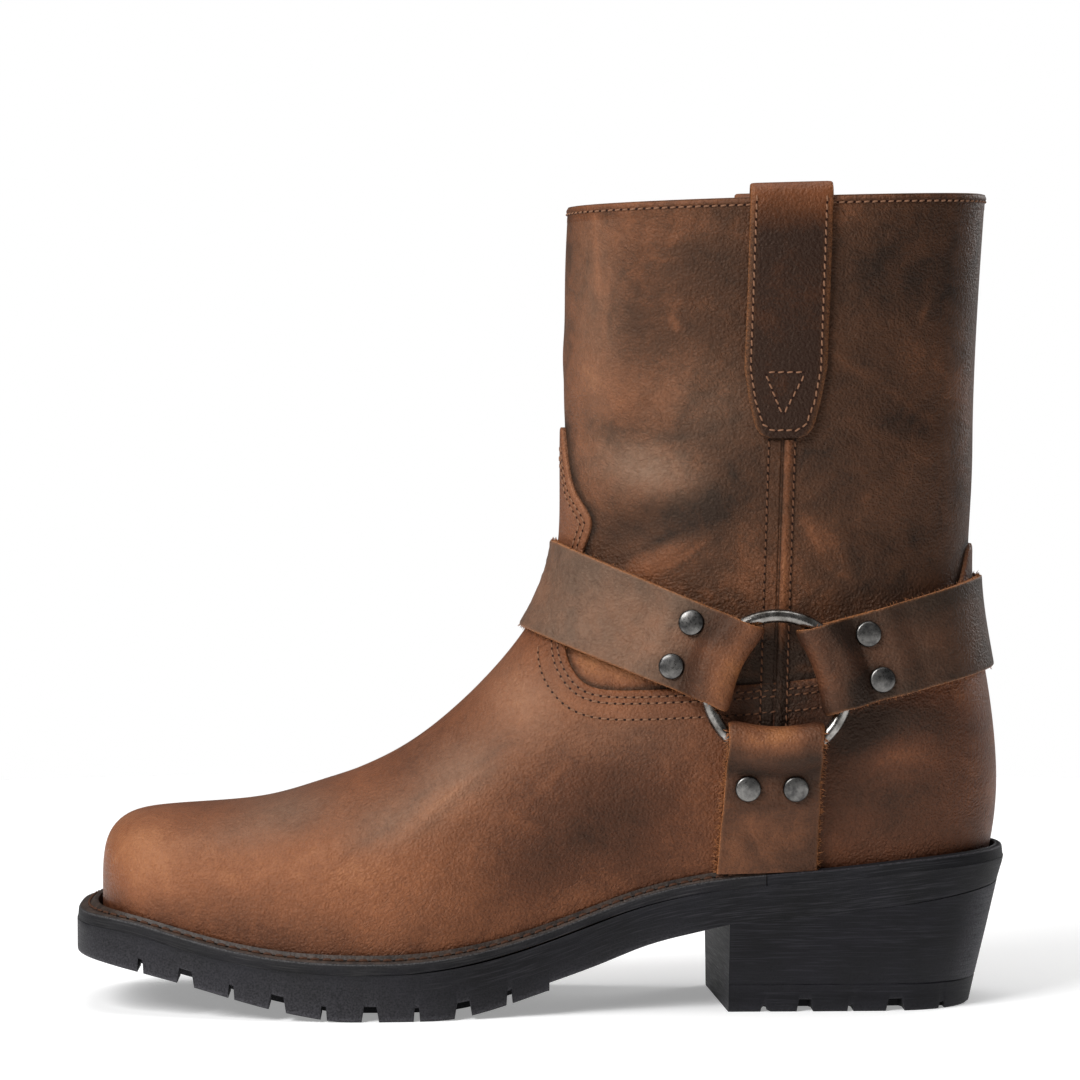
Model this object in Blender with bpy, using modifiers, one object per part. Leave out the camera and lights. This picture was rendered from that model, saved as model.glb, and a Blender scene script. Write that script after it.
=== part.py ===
"""Left harness boot: hollow leather upper on a welted lug sole, with three straps on a ring at each side.

Toe towards -X, outer (lateral) side towards -Y, floor at z = 0.
Every size below is in millimetres and becomes metres when a mesh is made.
"""
import math

import bmesh
import bpy
import numpy as np
from mathutils import Matrix, Vector

MM = 0.001
GAP = 0.3

# leather
WALL = 2.4
STEP_VAMP = 1.5
STEP_SEAM = 0.8
TRIM = 1.2
FORM_IN = 1.2
STRAP_THICK = 2.4
TAB_THICK = 2.4

# sole and heel
SOLE_TOE_X = -154.3
SOLE_HEEL_X = 154.6
WELT_HIGH = 4.0
WELT_RIDGE = 2.2
INSOLE_THICK = 3.0
LUG_DEEP = 5.0
LUG_PITCH = 15.0
LUG_FIRST_X = -131.0
LUG_COUNT = 9
LUG_WIDE = 5.6
LUG_NARROW = 2.0
CHANNEL_FROM_EDGE = 19.0
CHANNEL_WIDE = 4.0
BREAST_X = 61.0
BREAST_SKEW = 4.0
HEEL_ROUND = 37.0
HEEL_POWER = 2.3
LIFT_HIGH = 9.0
WELT_END_X = 73.0
FOOT_OUT = STEP_VAMP + 1.5

# hardware
RING_RADIUS = 22.8
RING_WIRE = 4.4
RING_X = 75.8
RING_Z = 107.7
RIVET_RADIUS = 4.2
RIVET_HIGH = 1.7
RIVET_OFF = 0.5

# outline of the sole: x, half width before the ends are rounded, centre towards the inner side,
# half width of the upper where it stands on the sole
SOLE = np.array([
    (-154.3, 38.0, 5.5, 38.0),
    (-138.0, 41.0, 4.9, 38.0),
    (-120.0, 46.0, 3.7, 38.4),
    (-100.0, 50.4, 2.4, 42.7),
    (-80.0, 52.4, 0.5, 44.9),
    (-60.0, 51.9, -1.6, 44.5),
    (-35.0, 47.6, -3.8, 40.4),
    (-10.0, 41.2, -3.4, 34.4),
    (15.0, 37.4, -2.0, 30.4),
    (45.0, 35.9, -0.6, 28.6),
    (85.0, 35.6, 0.0, 28.0),
    (120.0, 35.2, 0.0, 27.8),
    (154.6, 35.0, 0.0, 27.4),
])

# height of the welt's outer edge along the sole: x, z
EDGE = np.array([
    (-154.3, 32.8), (-140.0, 31.6), (-125.0, 28.3), (-110.0, 24.4), (-95.0, 21.4), (-80.0, 19.6),
    (-60.0, 18.8), (-45.0, 19.0), (-30.0, 20.4), (-15.0, 23.2), (0.0, 27.4), (15.0, 32.7), (30.0, 38.0),
    (45.0, 41.8), (60.0, 44.2), (75.0, 45.6), (95.0, 47.0), (115.0, 49.2), (135.0, 51.2), (154.6, 52.6),
])

# tread under the forefoot and the plain underside behind it: x, z
TREAD = np.array([
    (-154.3, 18.8), (-145.0, 17.2), (-131.0, 14.2), (-115.0, 10.6), (-102.0, 7.2), (-90.0, 4.2),
    (-75.0, 1.3), (-64.0, 0.0), (-56.0, 0.0), (-46.0, 0.0), (-36.0, 0.0), (-28.0, 0.6), (-12.0, 4.2),
    (1.5, 8.4),
])
ARCH = np.array([
    (2.0, 11.0), (20.0, 17.2), (33.0, 22.2), (43.0, 25.0), (52.0, 27.1), (61.0, 29.2), (80.0, 31.0),
    (105.0, 33.6), (130.0, 37.0), (154.6, 41.0),
])

# sections of the upper, each a plane along Y from a point on the front line to one on the seat or the back:
# front x, front z, lower x, lower z (0 where the section stands on the sole), half width, share of the way
# down at the widest place, power of the front curve
SECTIONS = np.array([
    (-144.5, 27.4, -113.0, 0.0, 38.0, 0.78, 2.6),
    (-144.5, 38.0, -110.5, 0.0, 39.4, 0.78, 2.6),
    (-144.4, 46.5, -108.0, 0.0, 40.4, 0.78, 2.58),
    (-143.4, 53.3, -105.5, 0.0, 41.2, 0.78, 2.54),
    (-141.2, 57.6, -103.0, 0.0, 41.9, 0.78, 2.48),
    (-137.4, 60.6, -100.0, 0.0, 42.7, 0.78, 2.43),
    (-130.6, 62.7, -96.5, 0.0, 43.6, 0.78, 2.38),
    (-118.6, 64.0, -92.0, 0.0, 44.6, 0.78, 2.34),
    (-103.9, 65.1, -86.5, 0.0, 45.2, 0.78, 2.3),
    (-89.7, 67.1, -79.0, 0.0, 45.6, 0.78, 2.25),
    (-75.5, 71.1, -68.0, 0.0, 45.7, 0.78, 2.2),
    (-61.3, 76.1, -52.0, 0.0, 44.6, 0.77, 2.15),
    (-47.2, 82.9, -34.0, 0.0, 41.8, 0.74, 2.1),
    (-34.0, 91.8, -14.0, 0.0, 38.6, 0.70, 2.05),
    (-21.9, 102.3, 8.0, 0.0, 36.2, 0.65, 2.0),
    (-10.8, 114.2, 34.0, 0.0, 34.8, 0.60, 2.0),
    (-1.9, 126.5, 66.0, 0.0, 34.4, 0.57, 2.0),
    (3.6, 138.0, 100.0, 0.0, 34.4, 0.54, 2.0),
    (6.4, 147.5, 130.0, 0.0, 34.6, 0.52, 2.05),
    (7.5, 156.0, 147.5, 0.0, 34.9, 0.51, 2.1),
    (7.8, 165.0, 150.7, 72.0, 35.2, 0.50, 2.15),
    (7.8, 176.0, 147.8, 105.0, 35.6, 0.50, 2.2),
    (7.8, 190.0, 142.8, 138.0, 36.1, 0.50, 2.2),
    (7.8, 206.0, 143.6, 170.0, 36.7, 0.50, 2.25),
    (8.0, 224.0, 144.3, 202.0, 37.3, 0.50, 2.3),
    (8.2, 244.0, 145.8, 236.0, 38.0, 0.50, 2.3),
    (9.1, 264.2, 147.9, 268.3, 38.5, 0.50, 2.3),
])
FRONT_X, FRONT_Z, LOWER_X, LOWER_Z, WIDE, WIDEST, POWER = SECTIONS.T
LAST_OPEN = 19
BACK_POWER = 2.3
SEAT_POWER = 1.6

# heel of the upper: z, half width; it closes to the back over HEEL_LONG
HEEL = np.array([(44.0, 27.6), (60.0, 30.4), (75.0, 32.3), (95.0, 33.8), (120.0, 34.7), (160.0, 35.7)])
HEEL_LONG = 34.0

# upper edge of the vamp, its tongue and the counter, seen from the side, from the front to the back: x, z
VAMP_EDGE = np.array([
    (-2.0, 193.6), (6.6, 192.4), (8.2, 188.0), (9.4, 178.6), (11.8, 169.5), (16.4, 161.0), (14.8, 152.9),
    (12.0, 141.0), (8.7, 127.8), (8.2, 117.0), (12.4, 108.8), (22.0, 105.4), (45.0, 106.2), (76.0, 108.3),
    (104.0, 112.8), (124.0, 123.0), (136.0, 136.0), (140.6, 150.0), (144.0, 152.6), (152.0, 153.4),
])

# straps seen from the side: lower and upper end of the fold at the ring, lower and upper end at the
# front or the back of the boot, as x, z
STRAP_FRONT = ((60.9, 99.2), (73.0, 125.4), (-4.6, 124.6), (7.4, 152.4))
STRAP_BACK = ((90.2, 98.2), (80.9, 125.0), (148.4, 112.0), (143.0, 141.4))
STRAP_DOWN = ((60.6, 97.0), (90.6, 97.0), (56.8, 47.6), (89.6, 49.0))
FOLD_BOW = 3.4
STRAP_TAIL = 27.0
RIVET_FROM_FOLD = 22.5
RIVET_APART = 15.6

# pull tab seen from the side: z, centre x, half width, from its lower end up to the rim
TAB = np.array([
    (188.2, 78.3, 5.0), (189.0, 78.3, 7.4), (191.5, 78.3, 9.4), (200.0, 78.5, 11.6), (210.5, 78.7, 13.4),
    (235.0, 79.6, 13.4), (258.0, 80.3, 13.4), (268.5, 80.6, 13.4),
])
TAB_INSIDE = 40.0

# seam at the side of the shaft, lower and upper end, and the raised bands on both sides of its groove
SEAM_LOW, SEAM_HIGH = (75.7, 104.0), (78.0, 187.4)
SEAM_BANDS = ((-5.0, -0.55), (0.55, 5.0))

# grooves in the heel lift's side: x, width, depth
LIFT_CUTS = ((72.5, 2.0, 2.0), (86.0, 5.4, 4.0), (101.0, 2.0, 2.0), (115.8, 6.2, 4.0), (131.6, 2.0, 2.0))


def spline(knots, values, at):
    """Natural cubic through the values at the knots, read at the places given."""
    count = len(knots)
    step = np.diff(knots)
    slope = np.diff(values) / step
    matrix = np.eye(count)
    right = np.zeros(count)
    for i in range(1, count - 1):
        matrix[i, i - 1:i + 2] = step[i - 1], 2 * (step[i - 1] + step[i]), step[i]
        right[i] = 6 * (slope[i] - slope[i - 1])
    bend = np.linalg.solve(matrix, right)
    at = np.clip(np.asarray(at, float), knots[0], knots[-1])
    i = np.clip(np.searchsorted(knots, at) - 1, 0, count - 2)
    after = at - knots[i]
    before = knots[i + 1] - at
    return ((bend[i] * before ** 3 + bend[i + 1] * after ** 3) / (6 * step[i])
            + (values[i] / step[i] - bend[i] * step[i] / 6) * before
            + (values[i + 1] / step[i] - bend[i + 1] * step[i] / 6) * after)


def ease(low, high, at):
    """Rise from 0 to 1 between two values, level at both ends."""
    share = np.clip((at - low) / (high - low), 0, 1)
    return share * share * (3 - 2 * share)


def edge_z(x):
    return spline(EDGE[:, 0], EDGE[:, 1], x)


def seat_z(x):
    """Top of the outsole, on which the upper and the insole stand."""
    return edge_z(x) - WELT_HIGH


def rounded(x, body, toe_x, toe_long, toe_power, heel_x, heel_long, heel_power):
    """Half width of a sole shape: the body's width with a squared toe and a round heel."""
    toe = np.clip((toe_x + toe_long - x) / toe_long, 0, 1)
    heel = np.clip((x - heel_x + heel_long) / heel_long, 0, 1)
    return body * (1 - toe ** toe_power) ** (1 / toe_power) * (1 - heel ** heel_power) ** (1 / heel_power)


def sole_half(x, grow=0.0):
    body = spline(SOLE[:, 0], SOLE[:, 1], x) + grow
    return rounded(x, body, SOLE_TOE_X - grow, 23.0, 3.0, SOLE_HEEL_X + grow, HEEL_ROUND, HEEL_POWER)


def last_half(x, grow=0.0):
    """Half width of the upper where it stands on the sole."""
    body = spline(SOLE[:, 0], SOLE[:, 3], x) + grow
    return rounded(x, body, FRONT_X[0] - grow, 25.0, 2.6, LOWER_X[LAST_OPEN] + grow, HEEL_LONG, BACK_POWER)


def centre_y(x, z=0.0):
    """Left and right curve of the foot, gone at the ankle."""
    return spline(SOLE[:, 0], SOLE[:, 2], x) * (1 - ease(60, 98, np.asarray(z, float)))


def section(row):
    """Front point, lower point, half width, lower half width, widest place and the powers ahead of it and
    behind it."""
    row = np.asarray(row, float)
    rows = np.arange(float(len(SECTIONS)))
    front = np.stack((spline(rows, FRONT_X, row), spline(rows, FRONT_Z, row)), -1)
    standing = np.minimum(row, LAST_OPEN)
    x = spline(rows[:LAST_OPEN + 1], LOWER_X[:LAST_OPEN + 1], standing)
    on_seat = np.stack((x, seat_z(x) - TRIM), -1)
    back_rows = rows[LAST_OPEN:]
    back_z = LOWER_Z[LAST_OPEN:].copy()
    back_z[0] = seat_z(LOWER_X[LAST_OPEN]) - TRIM
    rising = np.maximum(row, LAST_OPEN)
    back_x = spline(back_rows, LOWER_X[LAST_OPEN:], rising)
    on_back = np.stack((back_x, spline(back_rows, back_z, rising)), -1)
    closed = row >= LAST_OPEN
    lower = np.where(closed[..., None], on_back, on_seat)
    low_half = np.where(closed, 0.0, last_half(x))
    behind = SEAT_POWER + (BACK_POWER - SEAT_POWER) * ease(15, 20, row)
    wide, widest, ahead = (spline(rows, column, row) for column in (WIDE, WIDEST, POWER))
    return front, lower, wide, low_half, widest, ahead, behind


def heel_blend(x, z, half):
    """Half width taken over, near the heel, from level sections that close to the back line in a round."""
    rows = np.arange(LAST_OPEN, len(SECTIONS))
    back_z = LOWER_Z[rows].copy()
    back_z[0] = seat_z(LOWER_X[LAST_OPEN]) - TRIM
    back_x = spline(back_z, LOWER_X[rows], z)
    close = np.clip(1 - (back_x - x) / HEEL_LONG, 0, 1)
    heel = spline(HEEL[:, 0], HEEL[:, 1], z) * (1 - close ** BACK_POWER) ** (1 / BACK_POWER)
    share = ease(68, 104, x) * (1 - ease(98, 150, z))
    return half + (heel - half) * share


def upper_grid(rows, ahead=7, behind=5):
    """Points of the upper's outer side: a row per section, from the lateral edge over the front line
    to the medial edge. Ahead of the widest place and behind it the half section is a quarter of a
    superellipse."""
    front, lower, wide, low_half, widest, power, last = (np.asarray(a)[:, None] for a in section(rows))
    turn = np.linspace(0, math.pi / 2, ahead + 1)[None, :]
    share_a = widest * (1 - np.cos(turn) ** (2 / power))
    half_a = wide * np.sin(turn) ** (2 / power)
    back = np.linspace(0, 1, behind + 1)[None, 1:] * np.ones_like(widest)
    turn_b = back * math.pi / 2
    along = back + (np.sin(turn_b) ** (2 / last) - back) * ease(12, LAST_OPEN, rows[:, None])
    share_b = widest + (1 - widest) * along
    fall = (1 - np.clip((share_b - widest) / (1 - widest), 0, 1) ** last) ** (1 / last)
    half_b = low_half + (wide - low_half) * fall
    share = np.concatenate((share_a, share_b), 1)
    half = np.concatenate((half_a, half_b), 1)
    place = front + share[..., None] * (lower - front)
    x, z = place[..., 0], place[..., 1]
    z = np.where(rows[:, None] == 0, seat_z(x) - TRIM, z)
    half = heel_blend(x, z, half)
    mid = centre_y(x, z)
    lateral = np.stack((x, mid - half, z), -1)
    medial = np.stack((x, mid + half, z), -1)
    return np.concatenate((lateral[:, :0:-1], medial), 1)


def upper_half(x, z):
    """Half width of the upper at a place seen from the side, and the share of the way down its section."""
    x, z = np.broadcast_arrays(np.asarray(x, float), np.asarray(z, float))
    low = np.zeros(x.shape)
    high = np.full(x.shape, len(SECTIONS) - 1.0)
    for _ in range(32):
        mid = (low + high) / 2
        front, lower = section(mid)[:2]
        run = lower - front
        above = run[..., 0] * (z - front[..., 1]) - run[..., 1] * (x - front[..., 0]) > 0
        low = np.where(above, mid, low)
        high = np.where(above, high, mid)
    front, lower, wide, low_half, widest, power, last = section((low + high) / 2)
    run = lower - front
    share = ((x - front[..., 0]) * run[..., 0] + (z - front[..., 1]) * run[..., 1]) / (run ** 2).sum(-1)
    kept = np.clip(share, 0, 1)
    ahead = 1 - np.clip(kept / widest, 0, 1)
    behind = np.clip((kept - widest) / (1 - widest), 0, 1)
    half = np.where(kept < widest, wide * (1 - ahead ** power) ** (1 / power),
                    low_half + (wide - low_half) * (1 - behind ** last) ** (1 / last))
    return heel_blend(x, z, half), share


for old in list(bpy.data.objects):
    bpy.data.objects.remove(old, do_unlink=True)
boot = bpy.data.collections.new("harness_boot")
cutters = bpy.data.collections.new("cutters")
bpy.context.scene.collection.children.link(boot)
bpy.context.scene.collection.children.link(cutters)


def material(name, colour, rough, metal=0.0):
    made = bpy.data.materials.new(name)
    made.use_nodes = True
    shader = made.node_tree.nodes["Principled BSDF"]
    shader.inputs["Base Color"].default_value = (*colour, 1)
    shader.inputs["Roughness"].default_value = rough
    shader.inputs["Metallic"].default_value = metal
    return made


LEATHER = material("oiled leather", (0.16, 0.085, 0.05), 0.5)
STRAP_LEATHER = material("strap leather", (0.17, 0.10, 0.065), 0.5)
RUBBER = material("black rubber", (0.015, 0.014, 0.014), 0.6)
WELT_LEATHER = material("dark welt leather", (0.05, 0.03, 0.02), 0.6)
BOARD = material("insole board", (0.30, 0.20, 0.12), 0.8)
STEEL = material("aged steel", (0.32, 0.28, 0.24), 0.35, 1.0)


def solid(name, points, faces, look, cutter=False):
    """Mesh object from points in millimetres, normals outward."""
    mesh = bpy.data.meshes.new(name)
    mesh.from_pydata((np.asarray(points, float).reshape(-1, 3) * MM).tolist(), [], faces)
    work = bmesh.new()
    work.from_mesh(mesh)
    bmesh.ops.recalc_face_normals(work, faces=work.faces)
    work.to_mesh(mesh)
    work.free()
    made = bpy.data.objects.new(name, mesh)
    (cutters if cutter else boot).objects.link(made)
    if cutter:
        made.hide_render = True
        made.display_type = "WIRE"
    else:
        mesh.materials.append(look)
    return made


def cut(body, tool, how="DIFFERENCE"):
    step = body.modifiers.new(tool.name, "BOOLEAN")
    step.operation = how
    step.solver = "EXACT"
    step.object = tool
    return step


def thicken(body, thick, share):
    """Wall of the given thickness; share runs from -1 (all inward) to 1 (all outward)."""
    step = body.modifiers.new("wall", "SOLIDIFY")
    step.thickness = thick * MM
    step.offset = share
    step.use_even_offset = True
    step.use_quality_normals = True
    return step


def sheet_faces(rows, columns, ring=False):
    last = columns if ring else columns - 1
    return [(r * columns + c, r * columns + (c + 1) % columns,
             (r + 1) * columns + (c + 1) % columns, (r + 1) * columns + c)
            for r in range(rows - 1) for c in range(last)]


def slab(name, top, under, look, cutter=False):
    """Closed block between an upper and a lower grid of points of the same size."""
    rows, columns = top.shape[:2]
    points = np.concatenate((top.reshape(-1, 3), under.reshape(-1, 3)))
    count = rows * columns
    faces = sheet_faces(rows, columns)
    faces += [tuple(reversed([i + count for i in face])) for face in faces]
    for r in range(rows - 1):
        for c in (0, columns - 1):
            a, b = r * columns + c, (r + 1) * columns + c
            faces.append((a, b, b + count, a + count))
    for c in range(columns - 1):
        for r in (0, rows - 1):
            a, b = r * columns + c, r * columns + c + 1
            faces.append((a, b, b + count, a + count))
    return solid(name, points, faces, look, cutter)


def prism(name, outline, reach, cutter=True):
    """Side outline carried across the boot."""
    outline = np.asarray(outline, float)
    count = len(outline)
    near = np.stack((outline[:, 0], np.full(count, -reach), outline[:, 1]), -1)
    far = near * (1, -1, 1)
    faces = [tuple(range(count)), tuple(range(2 * count - 1, count - 1, -1))]
    faces += [(i, i + count, (i + 1) % count + count, (i + 1) % count) for i in range(count)]
    return solid(name, np.concatenate((near, far)), faces, None, cutter)


def bars(name, pieces):
    """Four-sided bars, each from the outline at its one end to the same outline at its other end."""
    points = []
    faces = []
    for ends in pieces:
        start = len(points)
        points += ends[0] + ends[1]
        faces += [tuple(range(start, start + 4)), tuple(range(start + 7, start + 3, -1))]
        for i in range(4):
            following = (i + 1) % 4
            faces.append((start + i, start + i + 4, start + following + 4, start + following))
    return solid(name, points, faces, None, True)


def across(x, half, z, columns=2):
    """Grid of points over a sole shape: a row per x, evenly spread over the width."""
    spread = np.linspace(-1, 1, columns)[None, :]
    y = centre_y(x)[:, None] + half[:, None] * spread
    return np.stack(np.broadcast_arrays(x[:, None], y, z[:, None]), -1)


def evenly(low, high, count):
    """Places from low to high, closer together at both ends."""
    return (low + high) / 2 - (high - low) / 2 * np.cos(np.linspace(0, math.pi, count))


SOLE_X = np.sort(np.concatenate((evenly(-154.2, 154.2, 40), [1.5, 2.5])))

# upper


def upper_sheet(name, rows, look, cutter):
    grid = upper_grid(rows)
    count, columns = grid.shape[:2]
    index = np.arange(count * columns).reshape(count, columns)
    index[rows >= LAST_OPEN, -1] = index[rows >= LAST_OPEN, 0]
    faces = [(int(index[r, c]), int(index[r, c + 1]), int(index[r + 1, c + 1]), int(index[r + 1, c]))
             for r in range(count - 1) for c in range(columns - 1)]
    faces = [tuple(dict.fromkeys(face)) for face in faces]
    used = sorted({i for face in faces for i in face})
    place = {old: new for new, old in enumerate(used)}
    faces = [tuple(place[i] for i in face) for face in faces]
    return solid(name, grid.reshape(-1, 3)[used], faces, look, cutter)


ROWS = np.concatenate((np.linspace(0, 17.3, 21), (17.9, 18.4, 18.76, 19.0, 19.35, 19.8),
                       np.linspace(20.4, len(SECTIONS) - 1, 8)))
upper = upper_sheet("upper", ROWS, LEATHER, False)
thicken(upper, WALL, -1)

vamp_form = upper_sheet("vamp_form", ROWS, None, True)
thicken(vamp_form, FORM_IN + STEP_VAMP, 2 * STEP_VAMP / (FORM_IN + STEP_VAMP) - 1)
places = np.arange(float(len(VAMP_EDGE)))
fine = np.linspace(1, len(VAMP_EDGE) - 2, 37)
edge = np.stack((spline(places, VAMP_EDGE[:, 0], fine), spline(places, VAMP_EDGE[:, 1], fine)), -1)
foot = np.stack((SOLE_X[::-1], seat_z(SOLE_X[::-1]) + 1.4), -1)
foot[0, 0], foot[-1, 0] = 170, -170
region = np.concatenate((edge, [(170, edge[-1, 1])], foot, [(-170, edge[0, 1])]))
cut(vamp_form, prism("vamp_side", region, 90), "INTERSECT")
cut(upper, vamp_form, "UNION")
foot[:, 1] = seat_z(SOLE_X[::-1]) + GAP
cut(upper, prism("seat_side", np.concatenate((foot, [(-170, -30), (170, -30)])), 90))

seam_form = upper_sheet("seam_form", ROWS, None, True)
thicken(seam_form, FORM_IN + STEP_SEAM, 2 * STEP_SEAM / (FORM_IN + STEP_SEAM) - 1)
bands = []
for near_x, far_x in SEAM_BANDS:
    side = [(SEAM_LOW[0] + near_x, SEAM_LOW[1]), (SEAM_LOW[0] + far_x, SEAM_LOW[1]),
            (SEAM_HIGH[0] + far_x, SEAM_HIGH[1]), (SEAM_HIGH[0] + near_x, SEAM_HIGH[1])]
    bands.append([[(x, y, z) for x, z in side] for y in (-90, 90)])
cut(seam_form, bars("seam_side", bands), "INTERSECT")
cut(upper, seam_form, "UNION")


# insole

insole_x = evenly(FRONT_X[0] + WALL + 2.0, LOWER_X[LAST_OPEN] - WALL - 2.0, 26)
insole_half = last_half(insole_x, -WALL - 2.0)
insole_low = seat_z(insole_x) + GAP
slab("insole", across(insole_x, insole_half, insole_low + INSOLE_THICK),
     across(insole_x, insole_half, insole_low), BOARD)

# outsole


def tread_z(x):
    return spline(TREAD[:, 0], TREAD[:, 1], x)


def arch_z(x):
    return spline(ARCH[:, 0], ARCH[:, 1], x)


under_z = np.where(SOLE_X < 2, tread_z(SOLE_X), arch_z(SOLE_X))
under_z = np.where((SOLE_X > -64) & (SOLE_X < -36), 0.0, np.maximum(under_z, 0.0))
lean = ease(90, 150, SOLE_X) * 2.0
under = across(SOLE_X - lean, sole_half(SOLE_X) - 0.4 - 0.4 * lean, under_z)
outsole = slab("outsole", across(SOLE_X, sole_half(SOLE_X), seat_z(SOLE_X)), under, RUBBER)


def groove(x, width, inner, outer, deep, slope=0.7):
    """Groove across a stretch of the tread, narrower inside: its side outline at both ends."""
    mouth = tread_z(x)
    tilt = np.gradient(tread_z(x + np.array([-4.0, 4.0])), 8.0)[0]
    side = [(-width / 2, -3.0), (width / 2, -3.0), (width / 2 * slope, deep), (-width / 2 * slope, deep)]
    return [[(x + dx, y, mouth + dz + tilt * dx) for dx, dz in side] for y in (inner, outer)]


side_cuts = []
for lug in range(LUG_COUNT):
    x = LUG_FIRST_X + LUG_PITCH * lug
    width = LUG_WIDE if lug % 2 else LUG_NARROW
    deep = LUG_DEEP if lug % 2 else LUG_DEEP - 0.6
    half = float(sole_half(np.array([x]))[0])
    mid = float(centre_y(np.array([x]))[0])
    for side in (-1, 1):
        inner = mid + side * (half - CHANNEL_FROM_EDGE)
        side_cuts.append(groove(x, width, inner, mid + side * (half + 6), deep))
    if lug % 2 == 0 and lug < LUG_COUNT - 1:
        reach = half - CHANNEL_FROM_EDGE - 0.5
        side_cuts.append(groove(x + LUG_PITCH / 2, LUG_WIDE - 1, mid - reach, mid + reach, LUG_DEEP - 1))
cut(outsole, bars("side_grooves", side_cuts))
channel_x = np.linspace(-140, -3, 13)
for name, side in (("channel_lateral", -1), ("channel_medial", 1)):
    mouth = tread_z(channel_x)
    mid = centre_y(channel_x) + side * (sole_half(channel_x) - CHANNEL_FROM_EDGE)
    grids = []
    for rise in (LUG_DEEP - 1.2, -4.0):
        sides = (mid - CHANNEL_WIDE / 2, mid + CHANNEL_WIDE / 2)
        grids.append(np.stack([np.stack((channel_x, y, mouth + rise), -1) for y in sides], 1))
    cut(outsole, slab(name, *grids, None, True))


# heel


def heel_block(name, top_z, low_z, top_back, low_back, top_half, low_half, look):
    """Block with a straight breast, skewed a little, and a round back: its top and its foot."""
    grids = []
    for z, back, half in ((top_z, top_back, top_half), (low_z, low_back, low_half)):
        x = np.sort(np.concatenate(([BREAST_X, 75.0, 92.0], evenly(104.0, back - 0.4, 14)[1:])))
        close = np.clip(1 - (back - x) / HEEL_ROUND, 0, 1)
        wide = half * (1 - close ** HEEL_POWER) ** (1 / HEEL_POWER)
        grid = across(x, wide, np.zeros_like(x), 3)
        pull = BREAST_SKEW * (1 - ease(BREAST_X, 85, grid[..., 0])) * (grid[..., 1] + half) / (2 * half)
        grid[..., 0] -= pull
        grid[..., 2] = z(grid[..., 0]) if callable(z) else z
        grids.append(grid)
    return slab(name, *grids, look)


heel_block("heel_stack", lambda x: arch_z(x) - GAP, LIFT_HIGH + GAP, 151.4, 145.2, 34.0, 32.2, RUBBER)
heel_lift = heel_block("heel_lift", LIFT_HIGH, 0.0, 145.2, 143.2, 32.2, 31.4, RUBBER)
lift_cuts = []
for x, width, deep in LIFT_CUTS:
    side = [(-width / 2, -3.0), (width / 2, -3.0), (width * 0.35, deep), (-width * 0.35, deep)]
    for way in (-1, 1):
        lift_cuts.append([[(x + dx, y, dz) for dx, dz in side] for y in (way * 20.0, way * 40.0)])
cut(heel_lift, bars("lift_grooves", lift_cuts))

# welt and rand


def band(name, outer, inner, low, outer_top, inner_top, look):
    """Strip along the sole's edge, with a top that slopes up to the upper."""
    count = len(outer)
    corners = ((outer, low), (outer, outer_top), (inner, inner_top), (inner, low))
    rings = np.stack([np.stack((side[:, 0], side[:, 1], height), -1) for side, height in corners], 1)
    faces = sheet_faces(count, 4, True)
    faces += [(3, 2, 1, 0), tuple(range(4 * count - 4, 4 * count))]
    return solid(name, rings, faces, look)


def along_edge(half, end_x, stop_x, count):
    """Points of an outline from its lateral side round its end to its medial side."""
    way = np.linspace(-1, 1, count)
    x = end_x + (stop_x - end_x) * (1 - np.cos(way * math.pi / 2))
    y = centre_y(x) + np.sign(way) * half(x)
    return np.stack((x, y), -1)


def round_upper(x, grow):
    """Half width just clear of the upper, over the height of the strip."""
    clear = last_half(x, grow)
    for rise in (1.0, 3.0, 5.0, WELT_HIGH + WELT_RIDGE + 0.4):
        clear = np.maximum(clear, upper_half(x, seat_z(x) + rise)[0] + STEP_VAMP + 0.5)
    return clear


for name, end_sole, end_last, stop, count, look in (
        ("welt", SOLE_TOE_X, FRONT_X[0] - FOOT_OUT, WELT_END_X, 57, WELT_LEATHER),
        ("heel_rand", SOLE_HEEL_X, LOWER_X[LAST_OPEN] + FOOT_OUT + 1.0, WELT_END_X + GAP, 33, RUBBER)):
    outer = along_edge(lambda x: sole_half(x, -0.2), end_sole - math.copysign(0.2, end_sole), stop, count)
    reach = FOOT_OUT if name == "welt" else FOOT_OUT + 1.0
    inner = along_edge(lambda x: round_upper(x, reach), end_last, stop, count)
    inner[count // 2, 1] = centre_y(inner[count // 2, 0])
    low = np.maximum(seat_z(outer[:, 0]), seat_z(inner[:, 0])) + GAP
    ridge = WELT_RIDGE if name == "welt" else 0.3
    band(name, outer, inner, low, edge_z(outer[:, 0]), edge_z(inner[:, 0]) + ridge, look)


# harness


def ribbon(name, grid, thick, look):
    """Strip of leather about a grid of points through the middle of its thickness."""
    made = solid(name, grid, sheet_faces(*grid.shape[:2]), look)
    thicken(made, thick, 0)
    return made


turns = np.linspace(0, 2 * math.pi, 48, endpoint=False)
under_ring = upper_half(RING_X + RING_RADIUS * np.cos(turns), RING_Z + RING_RADIUS * np.sin(turns))[0].max()
REST = STEP_VAMP + 2.8 * GAP + STRAP_THICK / 2
DOUBLED = REST + STRAP_THICK + GAP
RING_Y = under_ring + REST + STRAP_THICK / 2 + GAP + RING_WIRE / 2
OVER_RING = RING_WIRE / 2 + GAP + STRAP_THICK / 2


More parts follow.
